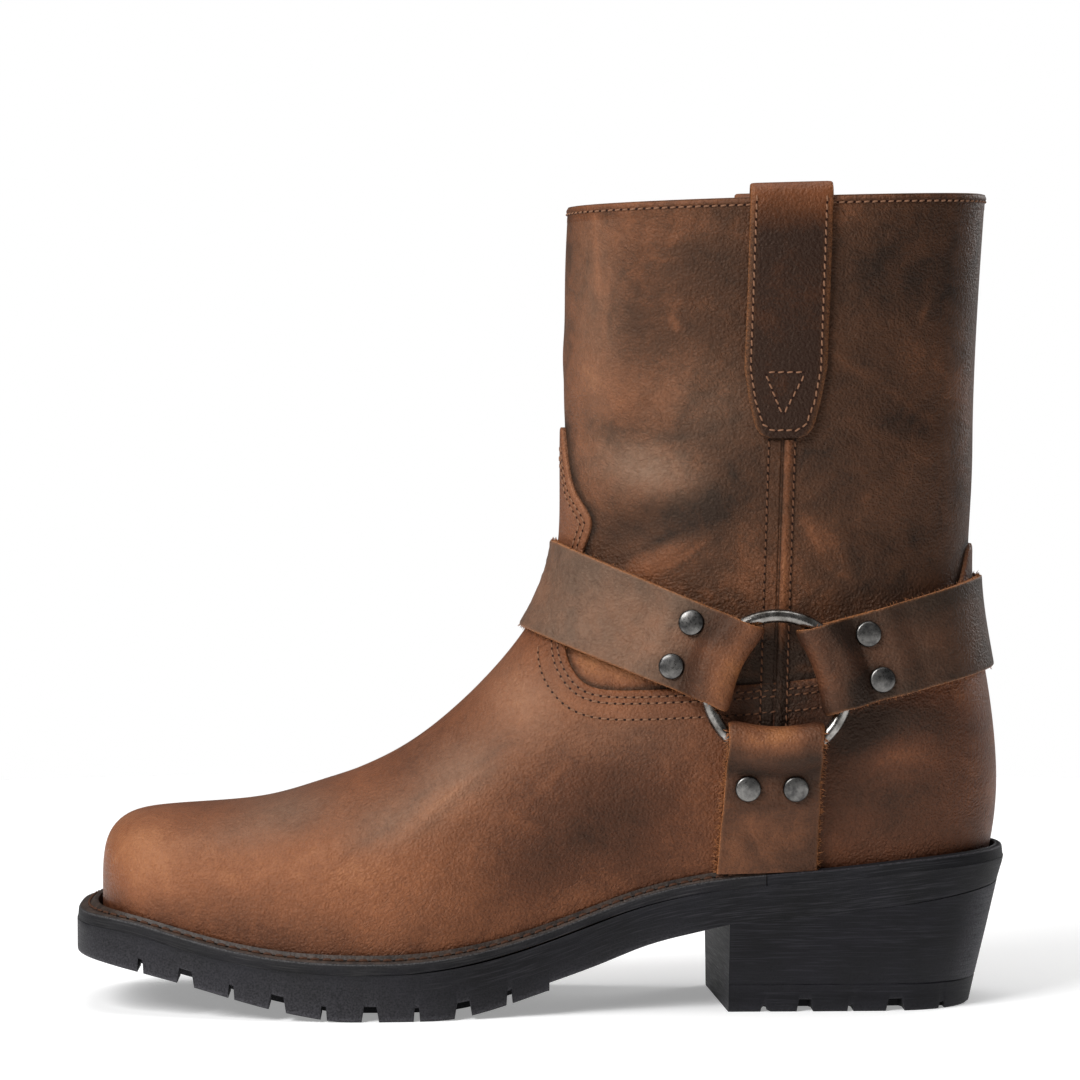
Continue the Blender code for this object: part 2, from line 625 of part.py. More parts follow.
class Run:
    """One line along a strap, from the fold at the ring to its far end, on the lateral side.

    The line stops where the share of the way down the upper's section passes the limit, at the front (0) or
    the back (1) of the boot, or runs its own length when there is no limit.
    """

    def __init__(self, start, far, limit=None):
        self.start = np.asarray(start, float)
        way = np.asarray(far, float) - self.start
        length = np.linalg.norm(way)
        self.way = way / length
        if limit is not None:
            reach = np.linspace(0, length + 14, 500)
            place = self.start + reach[:, None] * self.way
            share = upper_half(place[:, 0], place[:, 1])[1]
            passed = share <= 0 if limit == 0 else share >= 1
            length = reach[np.argmax(passed)]
        near = np.linspace(0, 1, 260)
        along = length * (1 - (1 - near) ** 2) if limit is not None else length * near
        place = self.start + along[:, None] * self.way
        half = upper_half(place[:, 0], place[:, 1])[0]
        if limit is not None:
            half[-1] = 0.0
        self.along = along
        self.half = half
        step = np.hypot(np.diff(along), np.diff(half))
        self.arc = np.concatenate(([0.0], np.cumsum(step)))
        out = np.stack((-np.gradient(half, self.arc), np.gradient(along, self.arc)), -1)
        if limit is not None:
            out[-1] = 1, 0
        self.out = out / np.linalg.norm(out, axis=1, keepdims=True)

    def at(self, arc, high):
        """Point at a length along the line and a height off the upper."""
        arc = np.asarray(arc, float)
        out = np.stack([np.interp(arc, self.arc, self.out[:, k]) for k in (0, 1)], -1)
        along = np.interp(arc, self.arc, self.along) + high * out[..., 0]
        half = np.interp(arc, self.arc, self.half) + high * out[..., 1]
        side = self.start + along[..., None] * self.way
        return np.stack((side[..., 0], -half, side[..., 1]), -1)


def strap_runs(corners, limit, columns=4):
    low, high, far_low, far_high = (np.asarray(c, float) for c in corners)
    return [Run(low + v * (high - low), far_low + v * (far_high - far_low), limit)
            for v in np.linspace(0, 1, columns)]


def folded(runs, steps):
    """Grid of a strap from its tail under the fold, round the ring and on to its far end."""
    columns = []
    for v, run in zip(np.linspace(-1, 1, len(runs)), runs):
        bow = FOLD_BOW * (1 - v * v)
        over = RING_Y - float(np.interp(9.0 + bow / 2, run.arc, run.half)) + OVER_RING
        radius = (over - REST) / 2
        middle = bow + STRAP_THICK / 2 + radius
        turn = np.linspace(0, math.pi, 7)
        clear = 12.6 + 0.4 * bow
        arc = np.concatenate(([STRAP_TAIL, 22.0, 17.0], middle - radius * np.sin(turn),
                              [clear - 2, clear, clear + 1.2, clear + 2.5, clear + 3.8, clear + 5],
                              [STRAP_TAIL + 1.5, STRAP_TAIL + 4, STRAP_TAIL + 7, STRAP_TAIL + 10]))
        drop = np.array([0, 0.06, 0.3, 0.7, 0.94, 1.0])
        high = np.concatenate(([REST] * 3, REST + radius - radius * np.cos(turn),
                               over + (DOUBLED - over) * drop,
                               DOUBLED + (REST - DOUBLED) * np.array([0, 0.25, 0.75, 1.0])))
        rest = np.linspace(STRAP_TAIL + 10, run.arc[-1], steps + 1)[1:]
        columns.append(run.at(np.concatenate((arc, rest)), np.concatenate((high, [REST] * steps))))
    return np.stack(columns, 1)


def both_sides(grid):
    """Grid that runs on past the middle plane to the other side."""
    grid = grid.copy()
    grid[-1, :, 1] = 0.0
    return np.concatenate((grid, (grid * (1, -1, 1))[-2::-1]))


front_runs = strap_runs(STRAP_FRONT, 0)
back_runs = strap_runs(STRAP_BACK, 1)
down_runs = strap_runs(STRAP_DOWN, None)
ribbon("strap_front", both_sides(folded(front_runs, 11)), STRAP_THICK, STRAP_LEATHER)
ribbon("strap_back", both_sides(folded(back_runs, 16)), STRAP_THICK, STRAP_LEATHER)
down = folded(down_runs, 3)
ribbon("strap_down_lateral", down, STRAP_THICK, STRAP_LEATHER)
ribbon("strap_down_medial", down * (1, -1, 1), STRAP_THICK, STRAP_LEATHER)

for side, way in (("lateral", -1), ("medial", 1)):
    bpy.ops.mesh.primitive_torus_add(major_radius=RING_RADIUS * MM, minor_radius=RING_WIRE / 2 * MM,
                                     major_segments=24, minor_segments=6,
                                     location=(RING_X * MM, way * RING_Y * MM, RING_Z * MM),
                                     rotation=(math.pi / 2, 0, 0))
    ring = bpy.context.object
    ring.name = "ring_" + side
    for home in list(ring.users_collection):
        home.objects.unlink(ring)
    boot.objects.link(ring)
    ring.data.materials.append(STEEL)

RIVET = ((0.0, 0.0), (RIVET_RADIUS, 0.0), (RIVET_RADIUS, 0.5), (2.9, 1.35), (0.0, RIVET_HIGH))
for strap, runs in (("front", front_runs), ("back", back_runs), ("down", down_runs)):
    low, high = runs[0].start, runs[-1].start
    wide = np.linalg.norm(high - low)
    for number, share in ((1, 0.5 - RIVET_APART / 2 / wide), (2, 0.5 + RIVET_APART / 2 / wide)):
        run = Run(low + share * (high - low), low + share * (high - low) + 60 * runs[1].way)
        seat = run.at(RIVET_FROM_FOLD, DOUBLED + STRAP_THICK / 2 + RIVET_OFF)
        away = run.at(RIVET_FROM_FOLD, DOUBLED + 10.0) - seat
        for side, way in (("lateral", 1), ("medial", -1)):
            mesh = bpy.data.meshes.new("rivet")
            mesh.from_pydata([(r * MM, 0, z * MM) for r, z in RIVET], [(i, i + 1) for i in range(4)], [])
            mesh.materials.append(STEEL)
            rivet = bpy.data.objects.new("rivet_{}_{}_{}".format(strap, number, side), mesh)
            boot.objects.link(rivet)
            turn = rivet.modifiers.new("turn", "SCREW")
            turn.steps = turn.render_steps = 10
            turn.use_merge_vertices = True
            turn.merge_threshold = 0.0001
            turn.use_normal_calculate = True
            axis = Vector(away * (1, way, 1)).normalized()
            spin = Vector((0, 0, 1)).rotation_difference(axis).to_matrix().to_4x4()
            rivet.matrix_world = Matrix.Translation(Vector(seat * (1, way, 1) * MM)) @ spin

# pull tabs


def rim_z(x):
    share = (x - FRONT_X[-1]) / (LOWER_X[-1] - FRONT_X[-1])
    return FRONT_Z[-1] + share * (LOWER_Z[-1] - FRONT_Z[-1])


spread = np.linspace(-1, 1, 4)
tab_rows = []
for z, x, half in TAB[:-1]:
    places = x + spread * half
    lift = upper_half(places, z)[0] + GAP + TAB_THICK / 2
    tab_rows.append(np.stack((places, -lift, np.full(len(spread), z)), -1))
z, x, half = TAB[-1]
places = x + spread * half
top = rim_z(places) + 0.6
wall_mid = upper_half(places, rim_z(places))[0] - WALL / 2 - 0.3
radius = WALL / 2 + 0.6 + TAB_THICK / 2
for angle in np.linspace(0, math.pi, 7):
    y = -wall_mid - radius * math.cos(angle)
    tab_rows.append(np.stack((places, y, top + radius * math.sin(angle)), -1))
for drop in (8.0, 24.0, TAB_INSIDE):
    lift = upper_half(places, rim_z(places) - drop)[0] - WALL - 1.2 - TAB_THICK / 2
    tab_rows.append(np.stack((places, -lift, top - drop), -1))
tab = np.stack(tab_rows)
ribbon("pull_tab_lateral", tab, TAB_THICK, STRAP_LEATHER)
ribbon("pull_tab_medial", tab * (1, -1, 1), TAB_THICK, STRAP_LEATHER)
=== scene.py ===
"""Left harness boot of oiled leather on a welted lug sole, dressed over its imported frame.

Toe towards -X, outer (lateral) side towards -Y, floor at z = 0. Sizes are in millimetres until a mesh is
made.
"""
import math

import bmesh
import bpy
import numpy as np
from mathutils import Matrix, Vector


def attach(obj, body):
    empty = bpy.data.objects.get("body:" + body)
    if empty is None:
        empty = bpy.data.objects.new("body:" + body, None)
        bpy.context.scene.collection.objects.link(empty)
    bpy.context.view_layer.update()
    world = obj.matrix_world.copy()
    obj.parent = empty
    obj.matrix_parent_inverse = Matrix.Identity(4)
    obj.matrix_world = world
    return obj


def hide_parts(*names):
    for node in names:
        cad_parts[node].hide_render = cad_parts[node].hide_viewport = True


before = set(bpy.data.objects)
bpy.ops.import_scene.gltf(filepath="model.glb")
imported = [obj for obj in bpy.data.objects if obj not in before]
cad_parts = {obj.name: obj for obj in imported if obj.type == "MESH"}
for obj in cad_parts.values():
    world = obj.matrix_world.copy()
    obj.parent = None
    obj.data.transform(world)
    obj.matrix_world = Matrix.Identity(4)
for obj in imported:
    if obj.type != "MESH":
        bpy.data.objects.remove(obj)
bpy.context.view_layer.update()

# Shaft: two quarters of oiled pull-up cowhide, 2.4 mm thick, closed at the sides and drawn over the last.
# The hide is drum dyed brown and waxed, so it darkens in patches and lightens to orange where it was bent.

MM = 0.001
# play between pieces, hide, step up to the vamp, edge of the welt, upper below the seat, shaft under the vamp
GAP, WALL, STEP_VAMP, WELT_HIGH, TRIM, LAP = 0.3, 2.4, 1.5, 4.0, 1.2, 7.0
# number of the last section that ends on the sole, and the powers and the length of the round at the heel
LAST_OPEN = 19
BACK_POWER, SEAT_POWER, HEEL_LONG = 2.3, 1.6, 34.0

# outline of the sole: x, half width, centre towards the inner side, half width of the upper above it
SOLE = np.array([
    (-154.3, 38.0, 5.5, 38.0), (-138.0, 41.0, 4.9, 38.0), (-120.0, 46.0, 3.7, 38.4),
    (-100.0, 50.4, 2.4, 42.7), (-80.0, 52.4, 0.5, 44.9), (-60.0, 51.9, -1.6, 44.5),
    (-35.0, 47.6, -3.8, 40.4), (-10.0, 41.2, -3.4, 34.4), (15.0, 37.4, -2.0, 30.4),
    (45.0, 35.9, -0.6, 28.6), (85.0, 35.6, 0.0, 28.0), (120.0, 35.2, 0.0, 27.8), (154.6, 35.0, 0.0, 27.4),
])

# height of the welt's outer edge along the sole: x, z
EDGE = np.array([
    (-154.3, 32.8), (-140.0, 31.6), (-125.0, 28.3), (-110.0, 24.4), (-95.0, 21.4), (-80.0, 19.6),
    (-60.0, 18.8), (-45.0, 19.0), (-30.0, 20.4), (-15.0, 23.2), (0.0, 27.4), (15.0, 32.7), (30.0, 38.0),
    (45.0, 41.8), (60.0, 44.2), (75.0, 45.6), (95.0, 47.0), (115.0, 49.2), (135.0, 51.2), (154.6, 52.6),
])

# sections of the upper: front x, front z, lower x, lower z (0 on the sole), half width, share of the way down
# at the widest place, power of the front curve
SECTIONS = np.array([
    (-144.5, 27.4, -113.0, 0.0, 38.0, 0.78, 2.6), (-144.5, 38.0, -110.5, 0.0, 39.4, 0.78, 2.6),
    (-144.4, 46.5, -108.0, 0.0, 40.4, 0.78, 2.58), (-143.4, 53.3, -105.5, 0.0, 41.2, 0.78, 2.54),
    (-141.2, 57.6, -103.0, 0.0, 41.9, 0.78, 2.48), (-137.4, 60.6, -100.0, 0.0, 42.7, 0.78, 2.43),
    (-130.6, 62.7, -96.5, 0.0, 43.6, 0.78, 2.38), (-118.6, 64.0, -92.0, 0.0, 44.6, 0.78, 2.34),
    (-103.9, 65.1, -86.5, 0.0, 45.2, 0.78, 2.3), (-89.7, 67.1, -79.0, 0.0, 45.6, 0.78, 2.25),
    (-75.5, 71.1, -68.0, 0.0, 45.7, 0.78, 2.2), (-61.3, 76.1, -52.0, 0.0, 44.6, 0.77, 2.15),
    (-47.2, 82.9, -34.0, 0.0, 41.8, 0.74, 2.1), (-34.0, 91.8, -14.0, 0.0, 38.6, 0.70, 2.05),
    (-21.9, 102.3, 8.0, 0.0, 36.2, 0.65, 2.0), (-10.8, 114.2, 34.0, 0.0, 34.8, 0.60, 2.0),
    (-1.9, 126.5, 66.0, 0.0, 34.4, 0.57, 2.0), (3.6, 138.0, 100.0, 0.0, 34.4, 0.54, 2.0),
    (6.4, 147.5, 130.0, 0.0, 34.6, 0.52, 2.05), (7.5, 156.0, 147.5, 0.0, 34.9, 0.51, 2.1),
    (7.8, 165.0, 150.7, 72.0, 35.2, 0.50, 2.15), (7.8, 176.0, 147.8, 105.0, 35.6, 0.50, 2.2),
    (7.8, 190.0, 142.8, 138.0, 36.1, 0.50, 2.2), (7.8, 206.0, 143.6, 170.0, 36.7, 0.50, 2.25),
    (8.0, 224.0, 144.3, 202.0, 37.3, 0.50, 2.3), (8.2, 244.0, 145.8, 236.0, 38.0, 0.50, 2.3),
    (9.1, 264.2, 147.9, 268.3, 38.5, 0.50, 2.3),
])
FRONT_X, FRONT_Z, LOWER_X, LOWER_Z, WIDE, WIDEST, POWER = SECTIONS.T
TOP_ROW = len(SECTIONS) - 1.0

# heel of the upper: z, half width
HEEL = np.array([(44.0, 27.6), (60.0, 30.4), (75.0, 32.3), (95.0, 33.8), (120.0, 34.7), (160.0, 35.7)])

# cut edge of the vamp, its tongue and the counter, seen from the side, from the front to the back: x, z
VAMP_EDGE = np.array([
    (-2.0, 193.6), (6.6, 192.4), (8.2, 188.0), (9.4, 178.6), (11.8, 169.5), (16.4, 161.0), (14.8, 152.9),
    (12.0, 141.0), (8.7, 127.8), (8.2, 117.0), (12.4, 108.8), (22.0, 105.4), (45.0, 106.2), (76.0, 108.3),
    (104.0, 112.8), (124.0, 123.0), (136.0, 136.0), (140.6, 150.0), (144.0, 152.6), (152.0, 153.4),
])


def spline(knots, values, at):
    """Natural cubic through the values at the knots, read at the places given."""
    count = len(knots)
    step = np.diff(knots)
    slope = np.diff(values) / step
    matrix = np.eye(count)
    right = np.zeros(count)
    for i in range(1, count - 1):
        matrix[i, i - 1:i + 2] = step[i - 1], 2 * (step[i - 1] + step[i]), step[i]
        right[i] = 6 * (slope[i] - slope[i - 1])
    bend = np.linalg.solve(matrix, right)
    at = np.clip(np.asarray(at, float), knots[0], knots[-1])
    i = np.clip(np.searchsorted(knots, at) - 1, 0, count - 2)
    after = at - knots[i]
    before = knots[i + 1] - at
    return ((bend[i] * before ** 3 + bend[i + 1] * after ** 3) / (6 * step[i])
            + (values[i] / step[i] - bend[i] * step[i] / 6) * before
            + (values[i + 1] / step[i] - bend[i + 1] * step[i] / 6) * after)


def ease(low, high, at):
    """Rise from 0 to 1 between two values, level at both ends."""
    share = np.clip((at - low) / (high - low), 0, 1)
    return share * share * (3 - 2 * share)


def unit(vectors):
    """Vectors brought to a length of one."""
    return vectors / np.maximum(np.linalg.norm(vectors, axis=-1, keepdims=True), 1e-12)


def edge_z(x):
    """Height of the welt's outer edge."""
    return spline(EDGE[:, 0], EDGE[:, 1], x)


def seat_z(x):
    """Top of the outsole, on which the upper stands."""
    return edge_z(x) - WELT_HIGH


def rounded(x, body, toe_x, toe_long, toe_power, heel_x, heel_long, heel_power):
    """Half width of a sole shape: the body's width times a superellipse quarter at the toe and the heel."""
    toe = np.clip((toe_x + toe_long - x) / toe_long, 0, 1)
    heel = np.clip((x - heel_x + heel_long) / heel_long, 0, 1)
    return body * (1 - toe ** toe_power) ** (1 / toe_power) * (1 - heel ** heel_power) ** (1 / heel_power)


def last_half(x, grow=0.0):
    """Half width of the upper where it stands on the sole."""
    body = spline(SOLE[:, 0], SOLE[:, 3], x) + grow
    return rounded(x, body, FRONT_X[0] - grow, 25.0, 2.6, LOWER_X[LAST_OPEN] + grow, HEEL_LONG, BACK_POWER)


def centre_y(x, z=0.0):
    """Left and right curve of the foot, gone at the ankle."""
    return spline(SOLE[:, 0], SOLE[:, 2], x) * (1 - ease(60, 98, np.asarray(z, float)))


def section(row):
    """Front point, lower point, half width, lower half width, widest place and the powers ahead of it and
    behind it, each read by a spline over the section's number."""
    row = np.asarray(row, float)
    rows = np.arange(TOP_ROW + 1)
    front = np.stack((spline(rows, FRONT_X, row), spline(rows, FRONT_Z, row)), -1)
    x = spline(rows[:LAST_OPEN + 1], LOWER_X[:LAST_OPEN + 1], np.minimum(row, LAST_OPEN))
    on_seat = np.stack((x, seat_z(x) - TRIM), -1)
    back_z = LOWER_Z[LAST_OPEN:].copy()
    back_z[0] = seat_z(LOWER_X[LAST_OPEN]) - TRIM
    rising = np.maximum(row, LAST_OPEN)
    back_x = spline(rows[LAST_OPEN:], LOWER_X[LAST_OPEN:], rising)
    on_back = np.stack((back_x, spline(rows[LAST_OPEN:], back_z, rising)), -1)
    closed = row >= LAST_OPEN
    lower = np.where(closed[..., None], on_back, on_seat)
    low_half = np.where(closed, 0.0, last_half(x))
    behind = SEAT_POWER + (BACK_POWER - SEAT_POWER) * ease(15, 20, row)
    wide, widest, ahead = (spline(rows, column, row) for column in (WIDE, WIDEST, POWER))
    return front, lower, wide, low_half, widest, ahead, behind


def heel_blend(x, z, half):
    """Half width taken over, near the heel, from level sections that close to the back line in a round."""
    back = section(np.linspace(LAST_OPEN, TOP_ROW, 3000))[1]
    back_x = np.interp(z, back[:, 1], back[:, 0])
    close = np.clip(1 - (back_x - x) / HEEL_LONG, 0, 1)
    heel = spline(HEEL[:, 0], HEEL[:, 1], z) * (1 - close ** BACK_POWER) ** (1 / BACK_POWER)
    return half + (heel - half) * ease(68, 104, x) * (1 - ease(98, 150, z))


def behind_share(past, behind, row):
    """How far down the rear part of a section a place lies, for its number from 0 to 1 there."""
    return past + (np.sin(past * math.pi / 2) ** (2 / behind) - past) * ease(12, LAST_OPEN, row)


def upper_place(row, way):
    """Point of the upper's outer side. way runs from -2 at the lateral lower edge over 0 at the front line
    to 2 at the medial one; up to 1 the half section is a superellipse quarter ahead of the widest place,
    and beyond 1 the quarter behind it."""
    row, way = np.broadcast_arrays(np.asarray(row, float), np.asarray(way, float))
    front, lower, wide, low_half, widest, ahead, behind = section(row)
    size = np.clip(np.abs(way), 0, 2)
    turn = np.minimum(size, 1) * math.pi / 2
    along = np.clip(behind_share(np.maximum(size - 1, 0), behind, row), 0, 1)
    share = np.where(size < 1, widest * (1 - np.cos(turn) ** (2 / ahead)), widest + (1 - widest) * along)
    fall = (1 - along ** behind) ** (1 / behind)
    half = np.where(size < 1, wide * np.sin(turn) ** (2 / ahead), low_half + (wide - low_half) * fall)
    x = front[..., 0] + share * (lower[..., 0] - front[..., 0])
    z = front[..., 1] + share * (lower[..., 1] - front[..., 1])
    z = z + (seat_z(x) - TRIM - z) * (1 - ease(0, 0.7, row))
    half = heel_blend(x, z, half)
    return np.stack((x, centre_y(x, z) + np.sign(way) * half, z), -1)


def directions(row, way, d_row=0.01, d_way=0.004):
    """Steps over the surface for a unit of row and way, and the outward direction, by small differences."""
    along = (upper_place(row + d_row, way) - upper_place(row - d_row, way)) / (2 * d_row)
    round_it = (upper_place(row, way + d_way) - upper_place(row, way - d_way)) / (2 * d_way)
    return along, round_it, unit(np.cross(along, round_it))


def side_place(x, z):
    """Row and way of a place seen from the lateral side, with the half width and the share of the section.
    The row is found by halving, the way by turning the section's formula round."""
    x, z = np.broadcast_arrays(np.asarray(x, float), np.asarray(z, float))
    low = np.zeros(x.shape)
    high = np.full(x.shape, TOP_ROW)
    for _ in range(32):
        row = (low + high) / 2
        front, lower = section(row)[:2]
        run = lower - front
        above = run[..., 0] * (z - front[..., 1]) - run[..., 1] * (x - front[..., 0]) > 0
        low = np.where(above, row, low)
        high = np.where(above, high, row)
    front, lower, wide, low_half, widest, ahead, behind = section(row)
    run = lower - front
    share = ((x - front[..., 0]) * run[..., 0] + (z - front[..., 1]) * run[..., 1]) / (run ** 2).sum(-1)
    kept = np.clip(share, 0, 1)
    before = np.clip(1 - kept / widest, 0, 1)
    past = np.clip((kept - widest) / (1 - widest), 0, 1)
    half = np.where(kept < widest, wide * (1 - before ** ahead) ** (1 / ahead),
                    low_half + (wide - low_half) * (1 - past ** behind) ** (1 / behind))
    near = np.zeros(x.shape)
    far = np.ones(x.shape)
    for _ in range(24):
        mid = (near + far) / 2
        less = behind_share(mid, behind, row) < past
        near = np.where(less, mid, near)
        far = np.where(less, far, mid)
    way = np.where(kept < widest, np.arccos(before ** (ahead / 2)) / (math.pi / 2), 1 + (near + far) / 2)
    return row, -way, heel_blend(x, z, half), share


def row_lines(low, high, step):
    """Rows set so that neither the front line nor the lower line is left further apart than the step."""
    rows = np.linspace(low, high, 2000)
    gaps = [np.linalg.norm(np.diff(line, axis=0), axis=1) for line in section(rows)[:2]]
    length = np.concatenate(([0.0], np.cumsum(np.maximum(*gaps))))
    return np.interp(np.linspace(0, length[-1], int(length[-1] / step) + 2), length, rows)


def trimmed(row, way, keep):
    """Grid of rows and ways cut off where keep falls below zero: the places of its points, its faces, and
    the pairs of points along the cut. Each cell is read by which of its corners are kept, and the cut
    crosses its sides at the place where keep, taken as even between two corners, is zero."""
    grid = np.stack(np.broadcast_arrays(row, way), -1)
    inside = keep > 0
    number = np.where(inside, np.cumsum(inside).reshape(inside.shape) - 1, -1)
    total = int(inside.sum())
    places = [grid[inside]]
    cuts = []
    for a, b in ((np.s_[:, :-1], np.s_[:, 1:]), (np.s_[:-1], np.s_[1:])):
        crossed = inside[a] != inside[b]
        share = (keep[a] / np.where(crossed, keep[a] - keep[b], 1))[crossed]
        places.append(grid[a][crossed] + share[:, None] * (grid[b] - grid[a])[crossed])
        cut = np.full(crossed.shape, -1)
        cut[crossed] = total + np.arange(crossed.sum())
        total += int(crossed.sum())
        cuts.append(cut)
    corner = (number[:-1, :-1], number[:-1, 1:], number[1:, 1:], number[1:, :-1])
    side = (cuts[0][:-1], cuts[1][:, 1:], cuts[0][1:], cuts[1][:, :-1])
    code = sum((c >= 0).astype(int) << i for i, c in enumerate(corner))
    faces = []
    seams = []
    for kind in range(1, 16):
        cells = code == kind
        ring = []
        for i in range(4):
            if kind >> i & 1:
                ring.append((False, corner[i][cells]))
            if (kind >> i & 1) != (kind >> (i + 1) % 4 & 1):
                ring.append((True, side[i][cells]))
        faces += np.stack([points for _, points in ring[::-1]], 1).tolist()
        for (cut_a, a), (cut_b, b) in zip(ring, ring[1:] + ring[:1]):
            if cut_a and cut_b:
                seams.append(np.stack((a, b), 1))
    return np.concatenate(places), faces, np.concatenate(seams)


def linear(hex_code):
    """Linear colour of an sRGB hex code."""
    value = np.array([int(hex_code[i:i + 2], 16) for i in (1, 3, 5)]) / 255
    return (*np.where(value <= 0.04045, value / 12.92, ((value + 0.055) / 1.055) ** 2.4), 1.0)


def node(tree, kind, inputs=(), stops=(), **settings):
    """Node with its settings and its inputs, named or listed in order: a node or a socket is linked, any
    other value is set. The stops of a colour ramp are pairs of position and hex code."""
    made = tree.nodes.new("ShaderNode" + kind)
    for name, value in settings.items():
        setattr(made, name, value)
    for name, value in inputs.items() if isinstance(inputs, dict) else enumerate(inputs):
        if isinstance(value, bpy.types.Node):
            value = next(socket for socket in value.outputs if socket.enabled)
        if isinstance(value, bpy.types.NodeSocket):
            tree.links.new(value, made.inputs[name])
        else:
            made.inputs[name].default_value = value
    if stops:
        ramp = made.color_ramp.elements
        for stop, (position, code) in zip(ramp, (stops[0], stops[-1])):
            stop.position, stop.color = position, linear(code)
        for position, code in stops[1:-1]:
            ramp.new(position).color = linear(code)
    return made


def new_material(name):
    """Empty material and its node tree."""
    made = bpy.data.materials.new(name)
    made.use_nodes = True
    made.node_tree.nodes.clear()
    return made, made.node_tree


def shaded(made, inputs):
    """Material finished with a Principled shader of these inputs."""
    node(made.node_tree, "OutputMaterial", {"Surface": node(made.node_tree, "BsdfPrincipled", inputs)})
    return made


def oiled_leather(name, palette, raw, cloudy=1.0, grain=1.0, wrinkled=1.0, drawn=-35):
    """Oiled pull-up leather: waxed full grain hide, satin, with cloudy dark patches, orange where it was bent
    or rubbed, a painted grey sheen where its mark is set, a fine pebbled grain crossed by wrinkles drawn out
    at an angle in degrees, seen from the side, with painted shade in their grooves, and cut edges that show
    the lighter fibre."""
    made, tree = new_material(name)
    place = node(tree, "TexCoord").outputs["Object"]
    tone, cut, painted_sheen = (node(tree, "Attribute", attribute_name=mark).outputs["Fac"]
                        for mark in ("tone", "cut", "painted_sheen"))
    # clouds of 34 mm and of 9 mm where the wax lies unevenly, veins of 3 mm, pores of 0.65 mm
    cloud, patch, vein, pore = (
        node(tree, "TexNoise", {"Vector": place, "Scale": 1000 / size, "Detail": detail, "Roughness": rough,
                                "Distortion": pull})
        for size, detail, rough, pull in ((34, 4.0, 0.55, 0.7), (9, 4.0, 0.5, 1.0), (3, 5.0, 0.65, 1.6),
                                          (0.65, 3.0, 0.65, 0.0)))
    pulled, bent = (node(tree, "VectorMath", (patch.outputs["Color"], (reach * MM,) * 3, place),
                         operation="MULTIPLY_ADD") for reach in (6.0, 1.6))
    # wrinkles along the sides of pulled cells, 4 mm by 1.3 mm and 2 mm deep, only where the clouds are light
    turned = node(tree, "VectorRotate", {"Vector": pulled, "Angle": math.radians(drawn)},
                  rotation_type="Y_AXIS")
    long_cells = node(tree, "VectorMath", (turned, (1000 / 4, 1000 / 2, 1000 / 1.3)), operation="MULTIPLY")
    wrinkle = node(tree, "TexVoronoi", {"Vector": long_cells, "Scale": 1.0}, feature="DISTANCE_TO_EDGE")
    groove = node(tree, "MapRange", (wrinkle, 0.0, 0.16, 1.0, 0.0))
    worn = node(tree, "MapRange", (cloud, 0.40, 0.58))
    crease = node(tree, "Math", (groove, worn), operation="MULTIPLY")
    depth = tone
    for source, reach in ((cloud, 0.10 * cloudy), (patch, 0.05 * cloudy), (vein, 0.04), (pore, 0.055)):
        spread = node(tree, "MapRange", (source, 0.3, 0.7, -reach, reach), clamp=False)
        depth = node(tree, "Math", (depth, spread), operation="ADD")
    # the wrinkles' grooves are darkened in colour: painted shade in the creases
    depth = node(tree, "Math", (crease, -0.04 * wrinkled, depth), operation="MULTIPLY_ADD")
    shade = node(tree, "ValToRGB", (depth,), list(zip((0.10, 0.38, 0.66, 0.95), palette)))
    # painted grey sheen, a highlight put in the colour, broken up by the veins
    haze = node(tree, "MapRange", (vein, 0.3, 0.7, 0.6, 1.3))
    sheen_share = node(tree, "Math", (haze, painted_sheen), operation="MULTIPLY")
    waxed = node(tree, "Mix", {"Factor": sheen_share, "A": shade, "B": linear("#8f7a68")}, data_type="RGBA")
    # fibre of the cut edge, 0.5 mm
    fibre = node(tree, "TexNoise", {"Vector": place, "Scale": 1000 / 0.5, "Detail": 2.0})
    bare = node(tree, "MapRange", (fibre, 0.3, 0.7, 0.1, 1.0))
    shown = node(tree, "Math", (bare, cut), operation="MULTIPLY")
    colour = node(tree, "Mix", {"Factor": shown, "A": waxed, "B": linear(raw)}, data_type="RGBA")
    # pebbled grain in cells of 1 mm, bent by the patches, over the veins, the pores and the wrinkles
    relief = node(tree, "TexVoronoi", {"Vector": bent, "Scale": 1000 / 1.0, "Smoothness": 0.4},
                  feature="SMOOTH_F1")
    for source, share in ((pore, 1.2), (vein, 0.35), (patch, 0.6), (crease, -0.36 * wrinkled)):
        relief = node(tree, "Math", (source, share, relief), operation="MULTIPLY_ADD")
    bump = node(tree, "Bump", {"Height": relief, "Strength": grain, "Distance": 0.3 * MM})
    rough = node(tree, "MapRange", (depth, 0.2, 0.8, 0.52, 0.38))
    return shaded(made, {"Base Color": colour, "Roughness": rough, "Normal": bump, "Specular IOR Level": 0.38,
                         "Specular Tint": linear("#f7dfca")})


def add_piece(name, points, faces, material, marks=None, stands_for=()):
    """Smooth mesh piece from points in millimetres, with number marks on its points, riding on the boot."""
    mesh = bpy.data.meshes.new(name)
    corners = faces.tolist() if isinstance(faces, np.ndarray) else faces
    mesh.from_pydata((np.asarray(points, float).reshape(-1, 3) * MM).tolist(), [], corners)
    mesh.shade_smooth()
    for mark, values in (marks or {}).items():
        held = mesh.attributes.new(mark, "FLOAT", "POINT")
        spread = np.broadcast_to(np.ravel(values), len(mesh.vertices))
        held.data.foreach_set("value", spread.astype(np.float32))
    mesh.materials.append(material)
    made = bpy.data.objects.new(name, mesh)
    bpy.context.scene.collection.objects.link(made)
    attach(made, "root")
    if stands_for:
        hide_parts(*stands_for)
    return made


